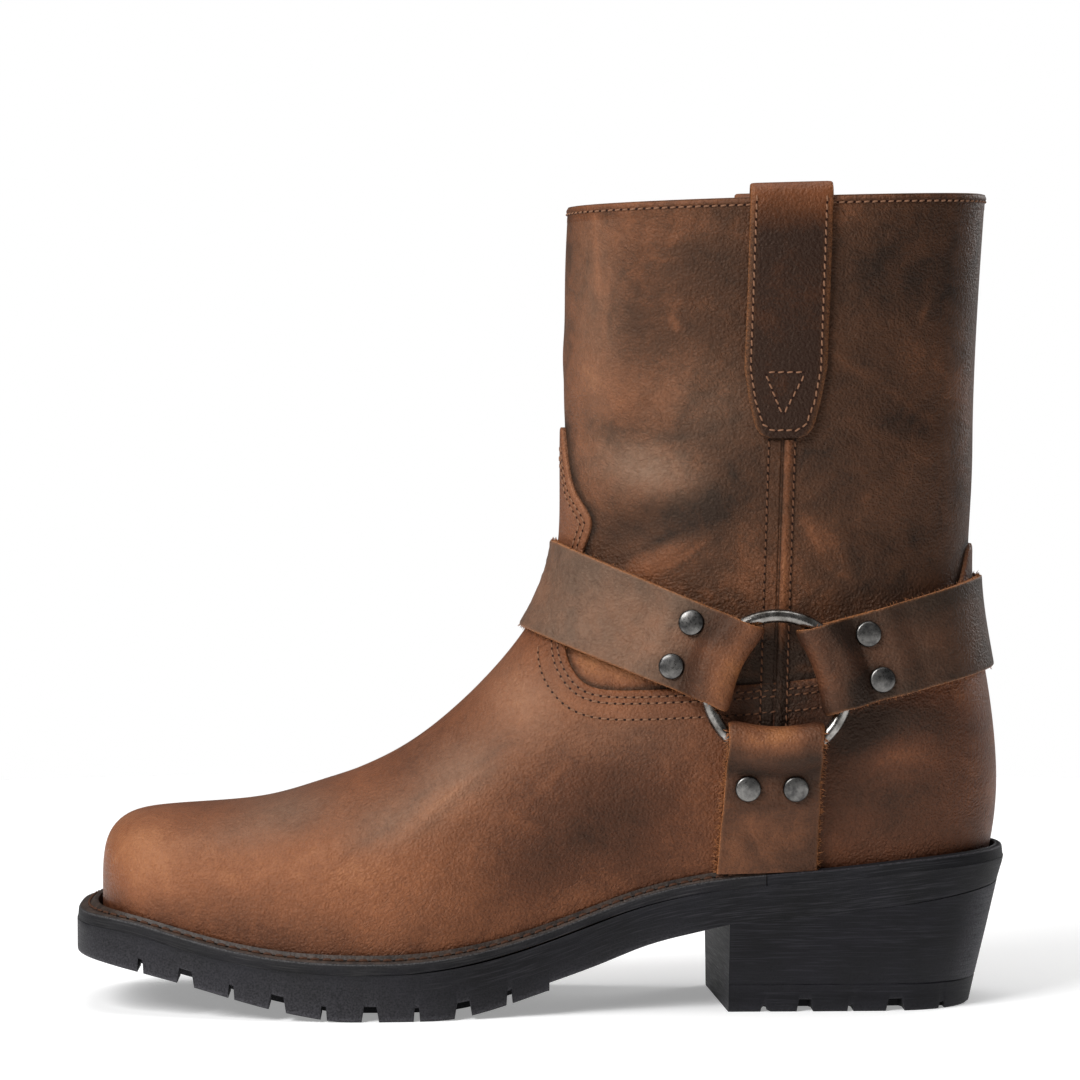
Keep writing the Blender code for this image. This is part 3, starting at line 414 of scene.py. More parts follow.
def weld(piece, sharp=None):
    """Merge the points that lie on each other, such as both ends of a row that closes on itself. A solid is
    given the angle in degrees past which its edges stay sharp, and its faces are turned outward."""
    work = bmesh.new()
    work.from_mesh(piece.data)
    bmesh.ops.remove_doubles(work, verts=work.verts, dist=0.004 * MM)
    if sharp:
        bmesh.ops.dissolve_degenerate(work, edges=work.edges, dist=0.001 * MM)
        bmesh.ops.recalc_face_normals(work, faces=work.faces)
    work.to_mesh(piece.data)
    work.free()
    if sharp:
        piece.data.set_sharp_from_angle(angle=math.radians(sharp))


# creases of the shaft, seen from the side: both ends as x, z, width of the trough, depth (a ridge below zero)
SHAFT_FOLDS = (
    (18, 150, 46, 165, 5.0, 0.9), (24, 139, 52, 153, 4.5, -0.8), (8, 190, 40, 186, 7.0, 0.8),
    (40, 186, 66, 202, 7.0, 0.7), (12, 214, 34, 196, 8.0, -0.6), (92, 150, 128, 160, 9.0, 0.7),
    (96, 172, 134, 186, 10.0, -0.6), (100, 205, 138, 190, 10.0, 0.5), (30, 172, 62, 168, 8.0, -0.7),
    (90, 128, 126, 138, 6.0, 0.6), (30, 146, 52, 160, 2.4, 0.3), (34, 141, 56, 154, 2.4, 0.28),
    (22, 194, 44, 198, 2.6, 0.28), (44, 196, 66, 208, 2.6, 0.3), (96, 160, 118, 152, 2.8, 0.26),
)

# tone of the hide, seen from the side: x, z, reach along, reach across, turn in degrees, lighter or darker
SHAFT_TONES = (
    (14, 228, 9, 45, 0, 0.18), (24, 200, 14, 11, 20, 0.07), (42, 236, 16, 20, 20, -0.07),
    (37, 177, 17, 9, -10, 0.10), (54, 166, 14, 11, 25, -0.42), (40, 145, 22, 5, 38, 0.18),
    (60, 230, 9, 26, 0, -0.16), (41, 240, 8, 14, 0, 0.08), (118, 240, 30, 30, 0, -0.32),
    (112, 184, 34, 18, 0, -0.24), (122, 214, 18, 6, -32, 0.12), (94, 154, 9, 4, -55, 0.16),
    (112, 146, 26, 12, 0, -0.16), (120, 130, 24, 8, 0, -0.1), (20, 172, 10, 12, 0, -0.04),
    # the patch at x 76, z 116 below is painted shade inside the ring, under the straps
    (38, 256, 30, 5, 0, 0.06), (76, 116, 16, 14, 0, -0.4), (24, 113, 26, 9, -8, 0.30),
    (43, 225, 1.2, 3.2, 24, 0.22), (124, 227, 1.2, 3.0, -24, 0.26), (96, 214, 12, 1.2, -38, 0.14),
    (88, 156, 1.4, 9, 30, 0.16), (96, 144, 7, 1.2, -20, 0.14), (18, 246, 1.0, 16, 3, 0.14),
    (21, 232, 0.8, 12, -4, 0.12), (30, 190, 16, 1.4, -6, -0.08), (44, 188, 14, 1.3, 8, -0.09),
    (60, 193, 9, 1.4, 22, -0.12), (33, 152, 14, 1.3, 26, -0.16), (44, 146, 12, 1.1, 34, -0.14),
    (50, 152, 9, 1.0, 40, 0.16), (62, 176, 1.3, 8, 30, -0.10), (114, 203, 16, 1.1, -34, 0.12),
)
# where the shaft gets a painted grey sheen, a highlight put in the colour: x, z, reach along, reach across,
# turn, amount
SHAFT_SHEEN = ((34, 178, 15, 8, -10, 0.42), (16, 228, 9, 45, 0, 0.18), (49, 200, 20, 14, 0, 0.12))
SHAFT_TONE = 0.44


def folds(x, z, table):
    """Sum of soft troughs: a Gaussian of the distance to a line, fading out at both ends of it."""
    total = np.zeros(np.shape(x))
    for x0, z0, x1, z1, width, depth in table:
        length = math.hypot(x1 - x0, z1 - z0)
        ux, uz = (x1 - x0) / length, (z1 - z0) / length
        along = (x - x0) * ux + (z - z0) * uz
        off = (z - z0) * ux - (x - x0) * uz - 0.06 * length * np.sin(math.pi * np.clip(along / length, 0, 1))
        fade = ease(-0.25 * length, 0.3 * length, along) * (1 - ease(0.7 * length, 1.25 * length, along))
        total -= depth * fade * np.exp(-(off / width) ** 2)
    return total


def patches(points, table):
    """Sum of soft oval patches, each a Gaussian of the distance to its middle measured in its two reaches."""
    x, z = points[..., 0], points[..., 2]
    total = np.zeros(x.shape)
    for px, pz, reach_u, reach_v, turn, amount in table:
        c, s = math.cos(math.radians(turn)), math.sin(math.radians(turn))
        u = ((x - px) * c + (z - pz) * s) / reach_u
        v = ((z - pz) * c - (x - px) * s) / reach_v
        total += amount * np.exp(-(u * u + v * v))
    return total


def edge_line(count):
    """Points of the vamp's cut edge, seen from the side, on a spline through its table."""
    numbers = np.arange(float(len(VAMP_EDGE)))
    at = np.linspace(0, len(VAMP_EDGE) - 1, count)
    return np.stack((spline(numbers, VAMP_EDGE[:, 0], at), spline(numbers, VAMP_EDGE[:, 1], at)), -1)


def below_edge(x, z):
    """Distance below the vamp's cut edge, seen from the side (above it less than zero), and its direction."""
    line = edge_line(240)
    x, z = np.broadcast_arrays(x, z)
    shape = x.shape
    x, z = np.ravel(x), np.ravel(z)
    best = np.full(x.shape, 1e9)
    sign = np.ones(x.shape)
    aim = np.zeros((2, x.size))
    for (ax, az), (bx, bz) in zip(line[:-1], line[1:]):
        ux, uz = bx - ax, bz - az
        share = np.clip(((x - ax) * ux + (z - az) * uz) / (ux * ux + uz * uz), 0, 1)
        dx, dz = x - ax - share * ux, z - az - share * uz
        far = np.hypot(dx, dz)
        closer = far < best
        best = np.where(closer, far, best)
        sign = np.where(closer, np.where(uz * (x - ax) - ux * (z - az) > 0, 1.0, -1.0), sign)
        aim = np.where(closer, np.stack((dx, dz)), aim)
    aim = aim * sign / np.maximum(best, 1e-6)
    return (sign * best).reshape(shape), aim.reshape(2, *shape)


def upper_skin(row, way, high, fold_table):
    """Points at a height off the upper's base with the creases pressed in, a little shifted on the medial
    side, with the outward directions and the depth of the creases."""
    base = upper_place(row, way)
    out = directions(row, way)[2]
    fold = folds(base[..., 0] + np.where(way > 0, 7, 0), base[..., 2] - np.where(way > 0, 5, 0), fold_table)
    return base + (high + fold)[..., None] * out, out, fold


shaft_leather = oiled_leather("oiled pull-up leather, shaft", ("#1c0e08", "#452919", "#75472d", "#a46d46"),
                              "#8a5a3a", 1.5)
rows = row_lines(13.0, TOP_ROW, 1.45)[:, None]
ways = np.linspace(-2, 2, 241)[None, :]
base = upper_place(rows, ways)
cells, faces, _ = trimmed(rows, ways, LAP - below_edge(base[..., 0], base[..., 2])[0])
points, _, fold = upper_skin(*cells.T, np.zeros(len(cells)), SHAFT_FOLDS)
depth = below_edge(points[:, 0], points[:, 2])[0]
# the dark line on the shaft just beside the vamp's raised edge is a painted shadow of that edge
# the folds' ridges are lighter as pull-up, their troughs darker as painted shade
tone = SHAFT_TONE + patches(points, SHAFT_TONES) + 0.12 * fold - 0.32 * np.exp(-((depth + 0.3) / 1.3) ** 2)
weld(add_piece("shaft", points, faces, shaft_leather,
               {"tone": tone, "cut": 0.0, "painted_sheen": patches(points, SHAFT_SHEEN)}, ["upper"]))

# Vamp, tongue and counter: one overlay of the same hide with a cut edge, lapped over the shaft and sewn down.
# It is lasted under the insole, so it runs tight over the toe and eases into fine wrinkles at the instep.

VAMP_FOLDS = (
    (-62, 60, -20, 92, 6.0, 0.5), (-50, 52, -6, 84, 6.0, -0.45), (-34, 58, 4, 78, 7.0, 0.4),
    (-74, 52, -44, 74, 6.0, -0.3), (20, 70, 44, 92, 8.0, 0.4), (104, 82, 138, 96, 12.0, -0.4),
    (-48, 58, -26, 80, 2.4, 0.3), (-40, 54, -16, 78, 2.4, 0.32), (-30, 52, -8, 72, 2.6, 0.28),
    (-56, 60, -40, 76, 2.4, 0.24), (-20, 78, -4, 94, 2.6, 0.24),
)
# among these, (76, 104) is painted shade inside the ring, and (104, 93), (126, 96) and (132, 92) are painted
# shadow cast below the back strap
VAMP_TONES = (
    (-132, 52, 18, 14, 0, 0.26), (-96, 50, 30, 12, 10, 0.15), (-120, 62, 14, 5, 0, -0.05),
    (-84, 66, 14, 6, 10, -0.08), (-62, 44, 30, 14, 15, 0.10), (-30, 70, 10, 18, -30, 0.10),
    (-22, 79, 12, 7, 35, -0.10), (-6, 100, 12, 12, 45, 0.18), (-2, 52, 16, 16, 0, -0.18),
    (28, 70, 22, 22, 0, -0.22), (26, 100, 22, 5, 0, 0.10), (40, 84, 20, 10, 0, 0.04),
    (112, 70, 24, 14, 0, -0.18), (132, 92, 14, 20, 0, -0.08), (118, 84, 12, 5, 10, 0.10),
    (10, 172, 8, 24, 0, 0.06), (140, 142, 12, 14, 0, -0.22), (76, 104, 16, 12, 0, -0.5),
    (12, 57, 18, 12, 0, -0.12), (104, 93, 14, 9, 10, -0.5), (126, 96, 16, 9, -15, -0.30),
    (116, 74, 26, 14, 0, -0.15), (-90, 28, 50, 6, -8, -0.08), (118, 58, 30, 6, 4, -0.12),
    (-122, 42, 1.2, 9, 8, 0.06), (-44, 68, 14, 1.2, 38, -0.10), (-36, 64, 12, 1.1, 40, -0.10),
    (-28, 74, 12, 1.1, 36, 0.12), (-52, 60, 10, 1.2, 30, -0.09), (2, 76, 9, 1.4, 45, 0.08),
)
# where the vamp gets a painted grey sheen, a highlight put in the colour
VAMP_SHEEN = (
    (-27, 79, 16, 9, 30, 0.30), (-6, 102, 12, 14, 45, 0.22), (-84, 66, 16, 6, 10, 0.26),
    (-49, 63, 16, 7, 20, 0.26), (-100, 58, 20, 5, 6, 0.14), (26, 92, 22, 10, 0, 0.10),
    (10, 170, 8, 26, 0, 0.10),
)
EDGE_ROUND = 0.45
vamp_leather = oiled_leather("oiled pull-up leather, vamp", ("#200f08", "#4d2a19", "#7e4c30", "#a8714c"),
                             "#95603d", 0.8, drawn=40)
rows = row_lines(0.0, 22.6, 1.42)[:, None]
base = upper_place(rows, ways)
depth = below_edge(base[..., 0], base[..., 2])[0]
cells, faces, cut_pairs = trimmed(rows, ways, np.minimum(depth, base[..., 2] - seat_z(base[..., 0]) - GAP))
base = upper_place(*cells.T)
out = directions(*cells.T)[2]
depth, aim = below_edge(base[:, 0], base[:, 2])
facing = aim[0] * out[:, 0] + aim[1] * out[:, 2]
inset = np.clip(depth / np.sqrt(np.clip(1 - facing ** 2, 0.04, 1)), 0, None)
points, out, fold = upper_skin(*cells.T, STEP_VAMP - EDGE_ROUND * np.exp(-inset / 0.7), VAMP_FOLDS)
# a skirt below the cut edge, down into the shaft
rim_points = np.unique(cut_pairs)
under = base[rim_points] - 0.3 * out[rim_points]
order = np.zeros(len(points), int)
order[rim_points] = len(points) + np.arange(len(under))
skirt = np.stack((cut_pairs[:, 0], cut_pairs[:, 1], order[cut_pairs[:, 1]], order[cut_pairs[:, 0]]), 1)
above_seat = np.clip(points[:, 2] - seat_z(points[:, 0]) - 5, 0, None)
# the folds' ridges are lighter as pull-up, their troughs darker as painted shade
tone = 0.535 + patches(points, VAMP_TONES) + 0.12 * fold
# darker in the last few mm above the welt: painted shade in the corner between vamp and welt
tone += 0.10 * np.exp(-inset / 0.8) - 0.17 * np.exp(-above_seat / 3.5)
marks = {"tone": (tone, 0.2), "cut": (0.35 * (inset < 0.05), 0.5),
         "painted_sheen": (patches(points, VAMP_SHEEN), 0.0)}
marks = {mark: np.append(values, np.full(len(under), low)) for mark, (values, low) in marks.items()}
weld(add_piece("vamp_and_counter", np.concatenate((points, under)), faces + skirt.tolist(), vamp_leather,
               marks))

# Vamp stitching: waxed thread in lockstitch, tan round the vamp; round the counter, inside the ring and in
# shade, a darker brown thread stands for the same thread as painted shade.
# A double row runs close to the cut edge of the overlay and a single row further in, where its lining ends.

PITCH = 2.75
# rows of stitches: how far in from the edge, and the height they go up to at the tongue
EDGE_ROWS = ((2.3, 186.0), (4.4, 182.0), (9.6, 119.5))
COUNTER_X, ROWS_END_X = 57.0, 136.0


def waxed_thread(name, colour, hollow_shade):
    """Waxed thread: twisted, satin, with its needle holes as dark discs of painted shade."""
    made, tree = new_material(name)
    hole_shade = node(tree, "Attribute", attribute_name="hole_shade").outputs["Fac"]
    place = node(tree, "TexCoord").outputs["Object"]
    twist = node(tree, "TexNoise", {"Vector": place, "Scale": 1000 / 0.4, "Detail": 2.0})
    shade = node(tree, "MapRange", (twist, 0.3, 0.7, 0.0, 0.3))
    spun = node(tree, "Mix", {"Factor": shade, "A": linear(colour), "B": linear(hollow_shade)}, data_type="RGBA")
    sunk = node(tree, "Mix", {"Factor": hole_shade, "A": spun, "B": linear(hollow_shade)}, data_type="RGBA")
    bump = node(tree, "Bump", {"Height": twist, "Strength": 0.4, "Distance": 0.1 * MM})
    return shaded(made, {"Base Color": sunk, "Normal": bump, "Roughness": 0.6, "Specular IOR Level": 0.14})


def arc_length(points):
    """Length gone along a line of points."""
    return np.concatenate(([0.0], np.cumsum(np.linalg.norm(np.diff(points, axis=0), axis=1))))


def read_line(at, arc, values):
    """Values along a line read at lengths along it."""
    return np.stack([np.interp(at, arc, values[:, k]) for k in range(values.shape[1])], -1)


def grid_faces(rows, columns, closed=False):
    """Quads of a grid of points kept row after row; closed joins its last column to its first."""
    r, c = np.meshgrid(np.arange(rows - 1), np.arange(columns if closed else columns - 1), indexing="ij")
    after = (c + 1) % columns
    return np.stack((r * columns + c, r * columns + after, (r + 1) * columns + after, (r + 1) * columns + c),
                    -1).reshape(-1, 4)


def sewn(name, lines, pitch, material, lean=8.0, thick=0.62):
    """Stitching along lines of points with their outward directions. Each stitch is a short six-sided rod
    that swells in its middle and dips into the leather at both ends; between two of them lies a dark disc,
    painted shade of the needle hole."""
    parts = []
    for points, out in lines:
        arc = arc_length(points)
        count = max(int(round(arc[-1] / pitch)), 1)
        at = (np.arange(count) + 0.5) / count * arc[-1]
        along = read_line(at + 0.3, arc, points) - read_line(at - 0.3, arc, points)
        parts.append((read_line(at, arc, points), along, read_line(at, arc, out)))
    place, along, out = (np.concatenate(part) for part in zip(*parts))
    along = unit(along)
    out = unit(out - (out * along).sum(1, keepdims=True) * along)
    across = np.cross(out, along)
    hole_at = place + along * pitch / 2 + 0.07 * out
    c, s = math.cos(math.radians(lean)), math.sin(math.radians(lean))
    along, across = along * c + across * s, across * c - along * s
    reach = 0.38 * pitch * np.array([-1, -0.7, 0, 0.7, 1])
    swell = thick / 2 * np.array([0.45, 0.9, 1, 0.9, 0.45])
    rise = thick * np.array([-0.28, 0.10, 0.20, 0.10, -0.28])
    turn = np.arange(6) * math.pi / 3
    spine = place[:, None] + reach[:, None] * along[:, None] + rise[:, None] * out[:, None]
    round_it = np.cos(turn)[:, None] * across[:, None] + np.sin(turn)[:, None] * out[:, None]
    rods = spine[:, :, None] + swell[:, None, None] * round_it[:, None]
    discs = hole_at[:, None] + thick * (0.85 * np.cos(turn)[:, None] * along[:, None]
                                        + 0.62 * np.sin(turn)[:, None] * across[:, None])
    number = np.arange(len(place))[:, None, None]
    faces = (grid_faces(5, 6, True)[None] + 30 * number).reshape(-1, 4).tolist()
    faces += (np.arange(6)[::-1] + 30 * number[:, 0]).tolist()
    faces += (np.arange(24, 30) + 30 * number[:, 0]).tolist()
    faces += (np.arange(6) + 30 * len(place) + 6 * number[:, 0]).tolist()
    hole_shades = np.repeat((0.0, 1.0), (30 * len(place), 6 * len(place)))
    add_piece(name, np.concatenate((rods.reshape(-1, 3), discs.reshape(-1, 3))), faces, material,
              {"hole_shade": hole_shades})


def beside(row, way, far, step):
    """Line of places moved a distance over the surface to the lower side of itself, in small steps: each step
    goes along the cross product of the line's direction and the outward one, read back into row and way
    by least squares on the surface's two directions."""
    for _ in range(int(round(far / step))):
        a, b, out = directions(row, way)
        side = step * unit(np.cross(np.gradient(upper_place(row, way), axis=0), out))
        aa, ab, bb = (a * a).sum(1), (a * b).sum(1), (b * b).sum(1)
        fa, fb = (a * side).sum(1), (b * side).sum(1)
        under = aa * bb - ab * ab
        row = row + (fa * bb - fb * ab) / under
        way = way + (fb * aa - fa * ab) / under
    return row, way


thread = waxed_thread("waxed brown thread", "#6a4834", "#1a0a04")
tan_thread = waxed_thread("waxed tan thread", "#8c664e", "#200c05")
edge_row, edge_way, _, share = side_place(*edge_line(700).T)
on_boot = (share > 0.004) & (share < 0.996)
lines = []
rear_lines = []
for far, top_z in EDGE_ROWS:
    row, way = beside(edge_row[on_boot], edge_way[on_boot], far, far / round(far / 0.6))
    points = upper_skin(row, way, np.full(row.shape, STEP_VAMP), VAMP_FOLDS)[0]
    kept = (points[:, 2] < top_z) & (points[:, 0] < ROWS_END_X)
    kept &= below_edge(points[:, 0], points[:, 2])[0] > 0.55 * far
    for turned in (1, -1):
        points, out, _ = upper_skin(row[kept], turned * way[kept], np.full(kept.sum(), STEP_VAMP), VAMP_FOLDS)
        front = points[:, 0] < COUNTER_X
        lines.append((points[front], out[front]))
        rear_lines.append((points[~front], out[~front]))
sewn("vamp_stitching", lines, PITCH, tan_thread)
# the darker thread round the counter is painted shade
sewn("counter_stitching", rear_lines, PITCH, thread)

# Side seams: the front and the back quarter meet edge to edge down each side of the shaft.
# Their turned edges stand up as two rounded bands with a groove between, sewn down along the outer sides.

SEAM_LOW, SEAM_HIGH = np.array([75.2, 90.0]), np.array([78.1, 187.4])
SEAM_STITCH = (-4.6, 3.9)


def seam_step(x, z):
    """Rise of the seam on to the vamp at the lower end."""
    return STEP_VAMP * ease(-0.6, 0.3, below_edge(x, z)[0])


across = np.linspace(-5.4, 4.8, 41)[:, None]
seam_x, seam_z = (SEAM_LOW + np.linspace(0, 1, 91)[:, None] * (SEAM_HIGH - SEAM_LOW)).T
row, way, _, _ = side_place(seam_x + across, seam_z)
left = ease(-5.4, -4.4, across) * (1 - ease(-0.9, -0.1, across))
right = ease(-0.15, 0.75, across) * (1 - 0.45 * ease(1.4, 3.4, across)) * (1 - ease(3.9, 4.8, across))
rise = -0.2 + 0.5 * left + 1.15 * right
for middle in SEAM_STITCH:
    rise = rise - 0.2 * np.exp(-((across - middle) / 0.55) ** 2)
rise = rise + seam_step(seam_x + across, seam_z)
# a lighter band on the crest of the back quarter's turned edge: rub wear and a painted highlight
worn_and_lit = 0.30 * np.exp(-((across - 1.6) / 1.5) ** 2)
# darker in the groove between the bands: painted shade
groove_shade = 0.45 * np.exp(-((across + 0.1) / 0.4) ** 2)
# below z 114 to 130, inside the ring, the seam is darkened as painted shade
tone = 0.36 + 0.04 * left + worn_and_lit - groove_shade - 0.6 * (1 - ease(114, 130, seam_z))
stitch_lines = []
for side, turned in (("lateral", 1), ("medial", -1)):
    points = upper_skin(row, turned * way, rise, SHAFT_FOLDS)[0]
    add_piece("side_seam_" + side, points, grid_faces(*row.shape)[:, ::-turned], shaft_leather,
              {"tone": tone, "cut": 0.0})
    for middle in SEAM_STITCH:
        line_row, line_way, _, _ = side_place(seam_x + middle, seam_z)
        high = 0.3 + seam_step(seam_x + middle, seam_z)
        stitch_lines.append(upper_skin(line_row, turned * line_way, high, SHAFT_FOLDS)[:2])
sewn("side_seam_stitching", stitch_lines, PITCH, thread)

# Rim and lining: the shaft's top edge is turned over a strip and sewn round, so it shows as a rounded fold.
# Inside, smooth tan calf lining covers the hide down to the insole.

# from the top edge down: outer edge of the fold, its stitches, its inner edge; and how far it stands proud
RIM_SKIRT, RIM_STITCH, RIM_INSIDE, RIM_PROUD = 6.0, 2.3, 9.0, 0.35
rim_ways = np.linspace(-2, 2, 341)[None, :]
turn = np.linspace(0, math.pi, 13)
outside = np.linspace(RIM_SKIRT, 1.0, 12)
outside_high = -0.12 + 0.2 * ease(RIM_SKIRT, 4.6, outside) + 0.4 * ease(3.0, 1.2, outside)
outside_high -= 0.1 * np.exp(-((outside - RIM_STITCH) / 0.5) ** 2)
rim_drop = np.concatenate((outside, 1.0 - 1.2 * np.sin(turn), np.linspace(1.2, RIM_INSIDE, 8)))
rim_high = np.concatenate((outside_high, -WALL / 2 + (WALL / 2 + RIM_PROUD) * np.cos(turn),
                           np.full(8, -WALL - RIM_PROUD)))
row_step = upper_place(TOP_ROW, rim_ways) - upper_place(TOP_ROW - 0.5, rim_ways)
row_long = np.linalg.norm(row_step, axis=-1) / 0.5
rim_row = TOP_ROW - np.clip(rim_drop, 0, None)[:, None] / row_long
rim_out = directions(np.minimum(rim_row, TOP_ROW - 0.02), rim_ways)[2]
points = upper_place(rim_row, rim_ways) + rim_high[:, None, None] * rim_out
points[..., 2] += np.clip(-rim_drop, 0, None)[:, None]
tone = SHAFT_TONE + patches(points, SHAFT_TONES) + 0.14 * np.exp(-(rim_drop[:, None] / 1.2) ** 2)
weld(add_piece("rim", points, grid_faces(*points.shape[:2])[:, ::-1], shaft_leather,
               {"tone": tone, "cut": 0.0}))
sewn_ways = np.linspace(-2, 2, 361)
sewn_row = TOP_ROW - RIM_STITCH / np.interp(sewn_ways, rim_ways[0], row_long[0])
seam = upper_skin(sewn_row, sewn_ways, np.full(361, 0.22), SHAFT_FOLDS)[:2]
sewn("rim_stitching", [seam], PITCH, tan_thread)

lining_rows = row_lines(1.2, TOP_ROW - 0.12, 5.0)[:, None]
lining_ways = np.linspace(-2, 2, 97)[None, :]
points = upper_place(lining_rows, lining_ways) - (WALL + 0.1) * directions(lining_rows, lining_ways)[2]
lining_leather = oiled_leather("tan calf lining", ("#6d4d35", "#8a6547", "#a37a57", "#b98f6b"), "#8a6547",
                               0.5, 0.4, 0.0)
weld(add_piece("lining", points, grid_faces(*points.shape[:2]), lining_leather,
               {"tone": 0.55, "cut": 0.0}))

# Insole: a full leather sock over shank board, 3 mm thick in all.
# It is cut to the last, with its upper edge skived round, and glued in on the welt seam.

INSOLE_THICK = 3.0
INSOLE_IN = WALL + 2.0


def across_sole(x, half, z, columns):
    """Grid over a sole shape: a row for each x and points spread evenly over the width about its centre."""
    spread = np.linspace(-1, 1, columns)[None, :]
    y = centre_y(x)[:, None] + half[:, None] * spread
    return np.stack(np.broadcast_arrays(x[:, None], y, z[:, None]), -1)


def block(levels, shares):
    """Closed block through levels of points of one grid size: the first and the last level are its top and
    its foot, and the rims of all of them are joined into its side. Also a mark that is zero on the top and
    the foot and has each level's share on its rim."""
    rows, columns = levels[0].shape[:2]
    index = np.arange(rows * columns).reshape(rows, columns)
    loop = np.concatenate((index[0, :-1], index[:-1, -1], index[-1, :0:-1], index[:0:-1, 0]))
    rims = [level.reshape(-1, 3)[loop] for level in levels]
    points = np.concatenate([levels[0].reshape(-1, 3), levels[-1].reshape(-1, 3)] + rims)
    caps = grid_faces(rows, columns)
    side = grid_faces(len(levels), len(loop), True) + 2 * rows * columns
    mark = np.append(np.zeros(2 * rows * columns), np.repeat(shares, len(loop)))
    return points, np.concatenate((caps, caps[:, ::-1] + rows * columns, side)), mark


turn = np.linspace(0.06, math.pi - 0.06, 60)
last_front, last_back = FRONT_X[0], LOWER_X[LAST_OPEN]
insole_x = (last_front + last_back) / 2 - ((last_back - last_front) / 2 - INSOLE_IN) * np.cos(turn)
half = last_half(insole_x, -INSOLE_IN)
levels = [across_sole(insole_x, half - inset, seat_z(insole_x) + GAP + rise, 21)
          for inset, rise in ((0.8, INSOLE_THICK), (0.0, INSOLE_THICK - 0.6), (0.0, 0.0))]
points, faces, _ = block(levels, (0, 0, 0))
weld(add_piece("insole_sock", points, faces, lining_leather, {"tone": 0.4, "cut": 0.0},
               ["insole"]), 40)

# Welt: a strip of dark waxed leather sewn round the upper from the heel's front over the toe.
# Its edge is trimmed flush with the sole and inked black; the outseam runs along its top in dark thread.

# slope up to the upper, bead along it, and the outseam: stitch length and its column of the strip's profile
WELT_RIDGE, WELT_BEAD = 2.2, 0.7
WELT_PITCH, WELT_SEAM = 3.9, 11
WELT_END_X = 73.0
SOLE_TOE_X, SOLE_HEEL_X = -154.3, 154.6
SOLE_TOE_LONG, SOLE_TOE_POWER = 23.0, 3.0
HEEL_ROUND, HEEL_POWER = 37.0, 2.3
# how far the welt keeps off the upper's base
FOOT_OUT = STEP_VAMP + 1.5


def sole_half(x, grow=0.0):
    """Half width of the sole."""
    body = spline(SOLE[:, 0], SOLE[:, 1], x) + grow
    return rounded(x, body, SOLE_TOE_X - grow, SOLE_TOE_LONG, SOLE_TOE_POWER, SOLE_HEEL_X + grow, HEEL_ROUND,
                   HEEL_POWER)


def along_edge(end_x, stop_x, count):
    """Places x along an outline from its lateral side round its end to its medial side, drawn close at the
    end, and the sign of y there."""
    way = np.linspace(-1, 1, count)
    way = np.sign(way) * np.abs(way) ** 1.4
    return end_x + (stop_x - end_x) * (1 - np.cos(way * math.pi / 2)), np.sign(way)


def round_upper(x, grow):
    """Half width just clear of the upper, over the height of the welt."""
    clear = last_half(x, grow)
    for rise in (1.0, 3.0, 5.0, WELT_HIGH + WELT_RIDGE + 0.4):
        clear = np.maximum(clear, side_place(x, seat_z(x) + rise)[2] + STEP_VAMP + 0.5)
    return clear


def edge_strip(end_sole, end_last, stop, count, reach, ridge, bead, worn_and_lit):
    """Strip along the sole's edge: a profile of share inward and rise carried round the outline. The outer
    corner is rounded, the top slopes up to the upper, and a bead lies against it. Also the faces, closed
    round and at both ends, and the marks: the level over the seat and the wear across the profile."""
    x, sign = along_edge(end_sole - math.copysign(0.2, end_sole), stop, count)
    outer = np.stack((x, centre_y(x) + sign * sole_half(x, -0.2)), -1)
    x, sign = along_edge(end_last, stop, count)
    inner = np.stack((x, centre_y(x) + sign * round_upper(x, reach)), -1)
    low = np.maximum(seat_z(outer[:, 0]), seat_z(x)) + GAP
    top = edge_z(outer[:, 0])
    climb = edge_z(x) + ridge - top
    wide = np.linalg.norm(outer - inner, axis=1)
    inward = [np.zeros(count), 0.3 / wide, 0.5 / wide, 1.0 / wide]
    height = [low, top - 0.7, top - 0.2, top]
    for share in np.linspace(0, 1, 16):
        inward.append(1.0 / wide + share * (1 - 1.0 / wide))
        swell = np.exp(-((share - 0.80) / 0.12) ** 2) - 0.3 * np.exp(-((share - 0.5) / 0.15) ** 2)
        swell *= bead * ease(0, 0.1, share) * (1 - ease(0.93, 1, share))
        height.append(top + climb * share + swell)
    inward = np.stack(inward + [np.ones(count)], 1)[..., None]
    height = np.stack(height + [low], 1)[..., None]
    points = np.concatenate((outer[:, None] + inward * (inner - outer)[:, None], height), -1)
    columns = points.shape[1]
    ends = [list(range(columns))[::-1], list(range((count - 1) * columns, count * columns))]
    marks = {"level": points[..., 2] - seat_z(points[..., 0]),
             "worn_and_lit": np.tile(worn_and_lit + worn_and_lit[-1:] * (columns - len(worn_and_lit)), count)}
    return points, grid_faces(count, columns, True).tolist() + ends, marks


def waxed_welt(name, dark, light):
    """Waxed welt leather: dark brown and satin, mottled lighter by dust and wear."""
    made, tree = new_material(name)
    place = node(tree, "TexCoord").outputs["Object"]
    cloud = node(tree, "TexNoise", {"Vector": place, "Scale": 1000 / 4, "Detail": 6.0, "Roughness": 0.7})
    colour = node(tree, "ValToRGB", (cloud,), ((0.38, dark), (0.68, light)))
    fine = node(tree, "TexNoise", {"Vector": place, "Scale": 1000 / 0.9, "Detail": 4.0})
    bump = node(tree, "Bump", {"Height": fine, "Strength": 0.8, "Distance": 0.3 * MM})
    return shaded(made, {"Base Color": colour, "Normal": bump, "Roughness": 0.5, "Specular IOR Level": 0.35})


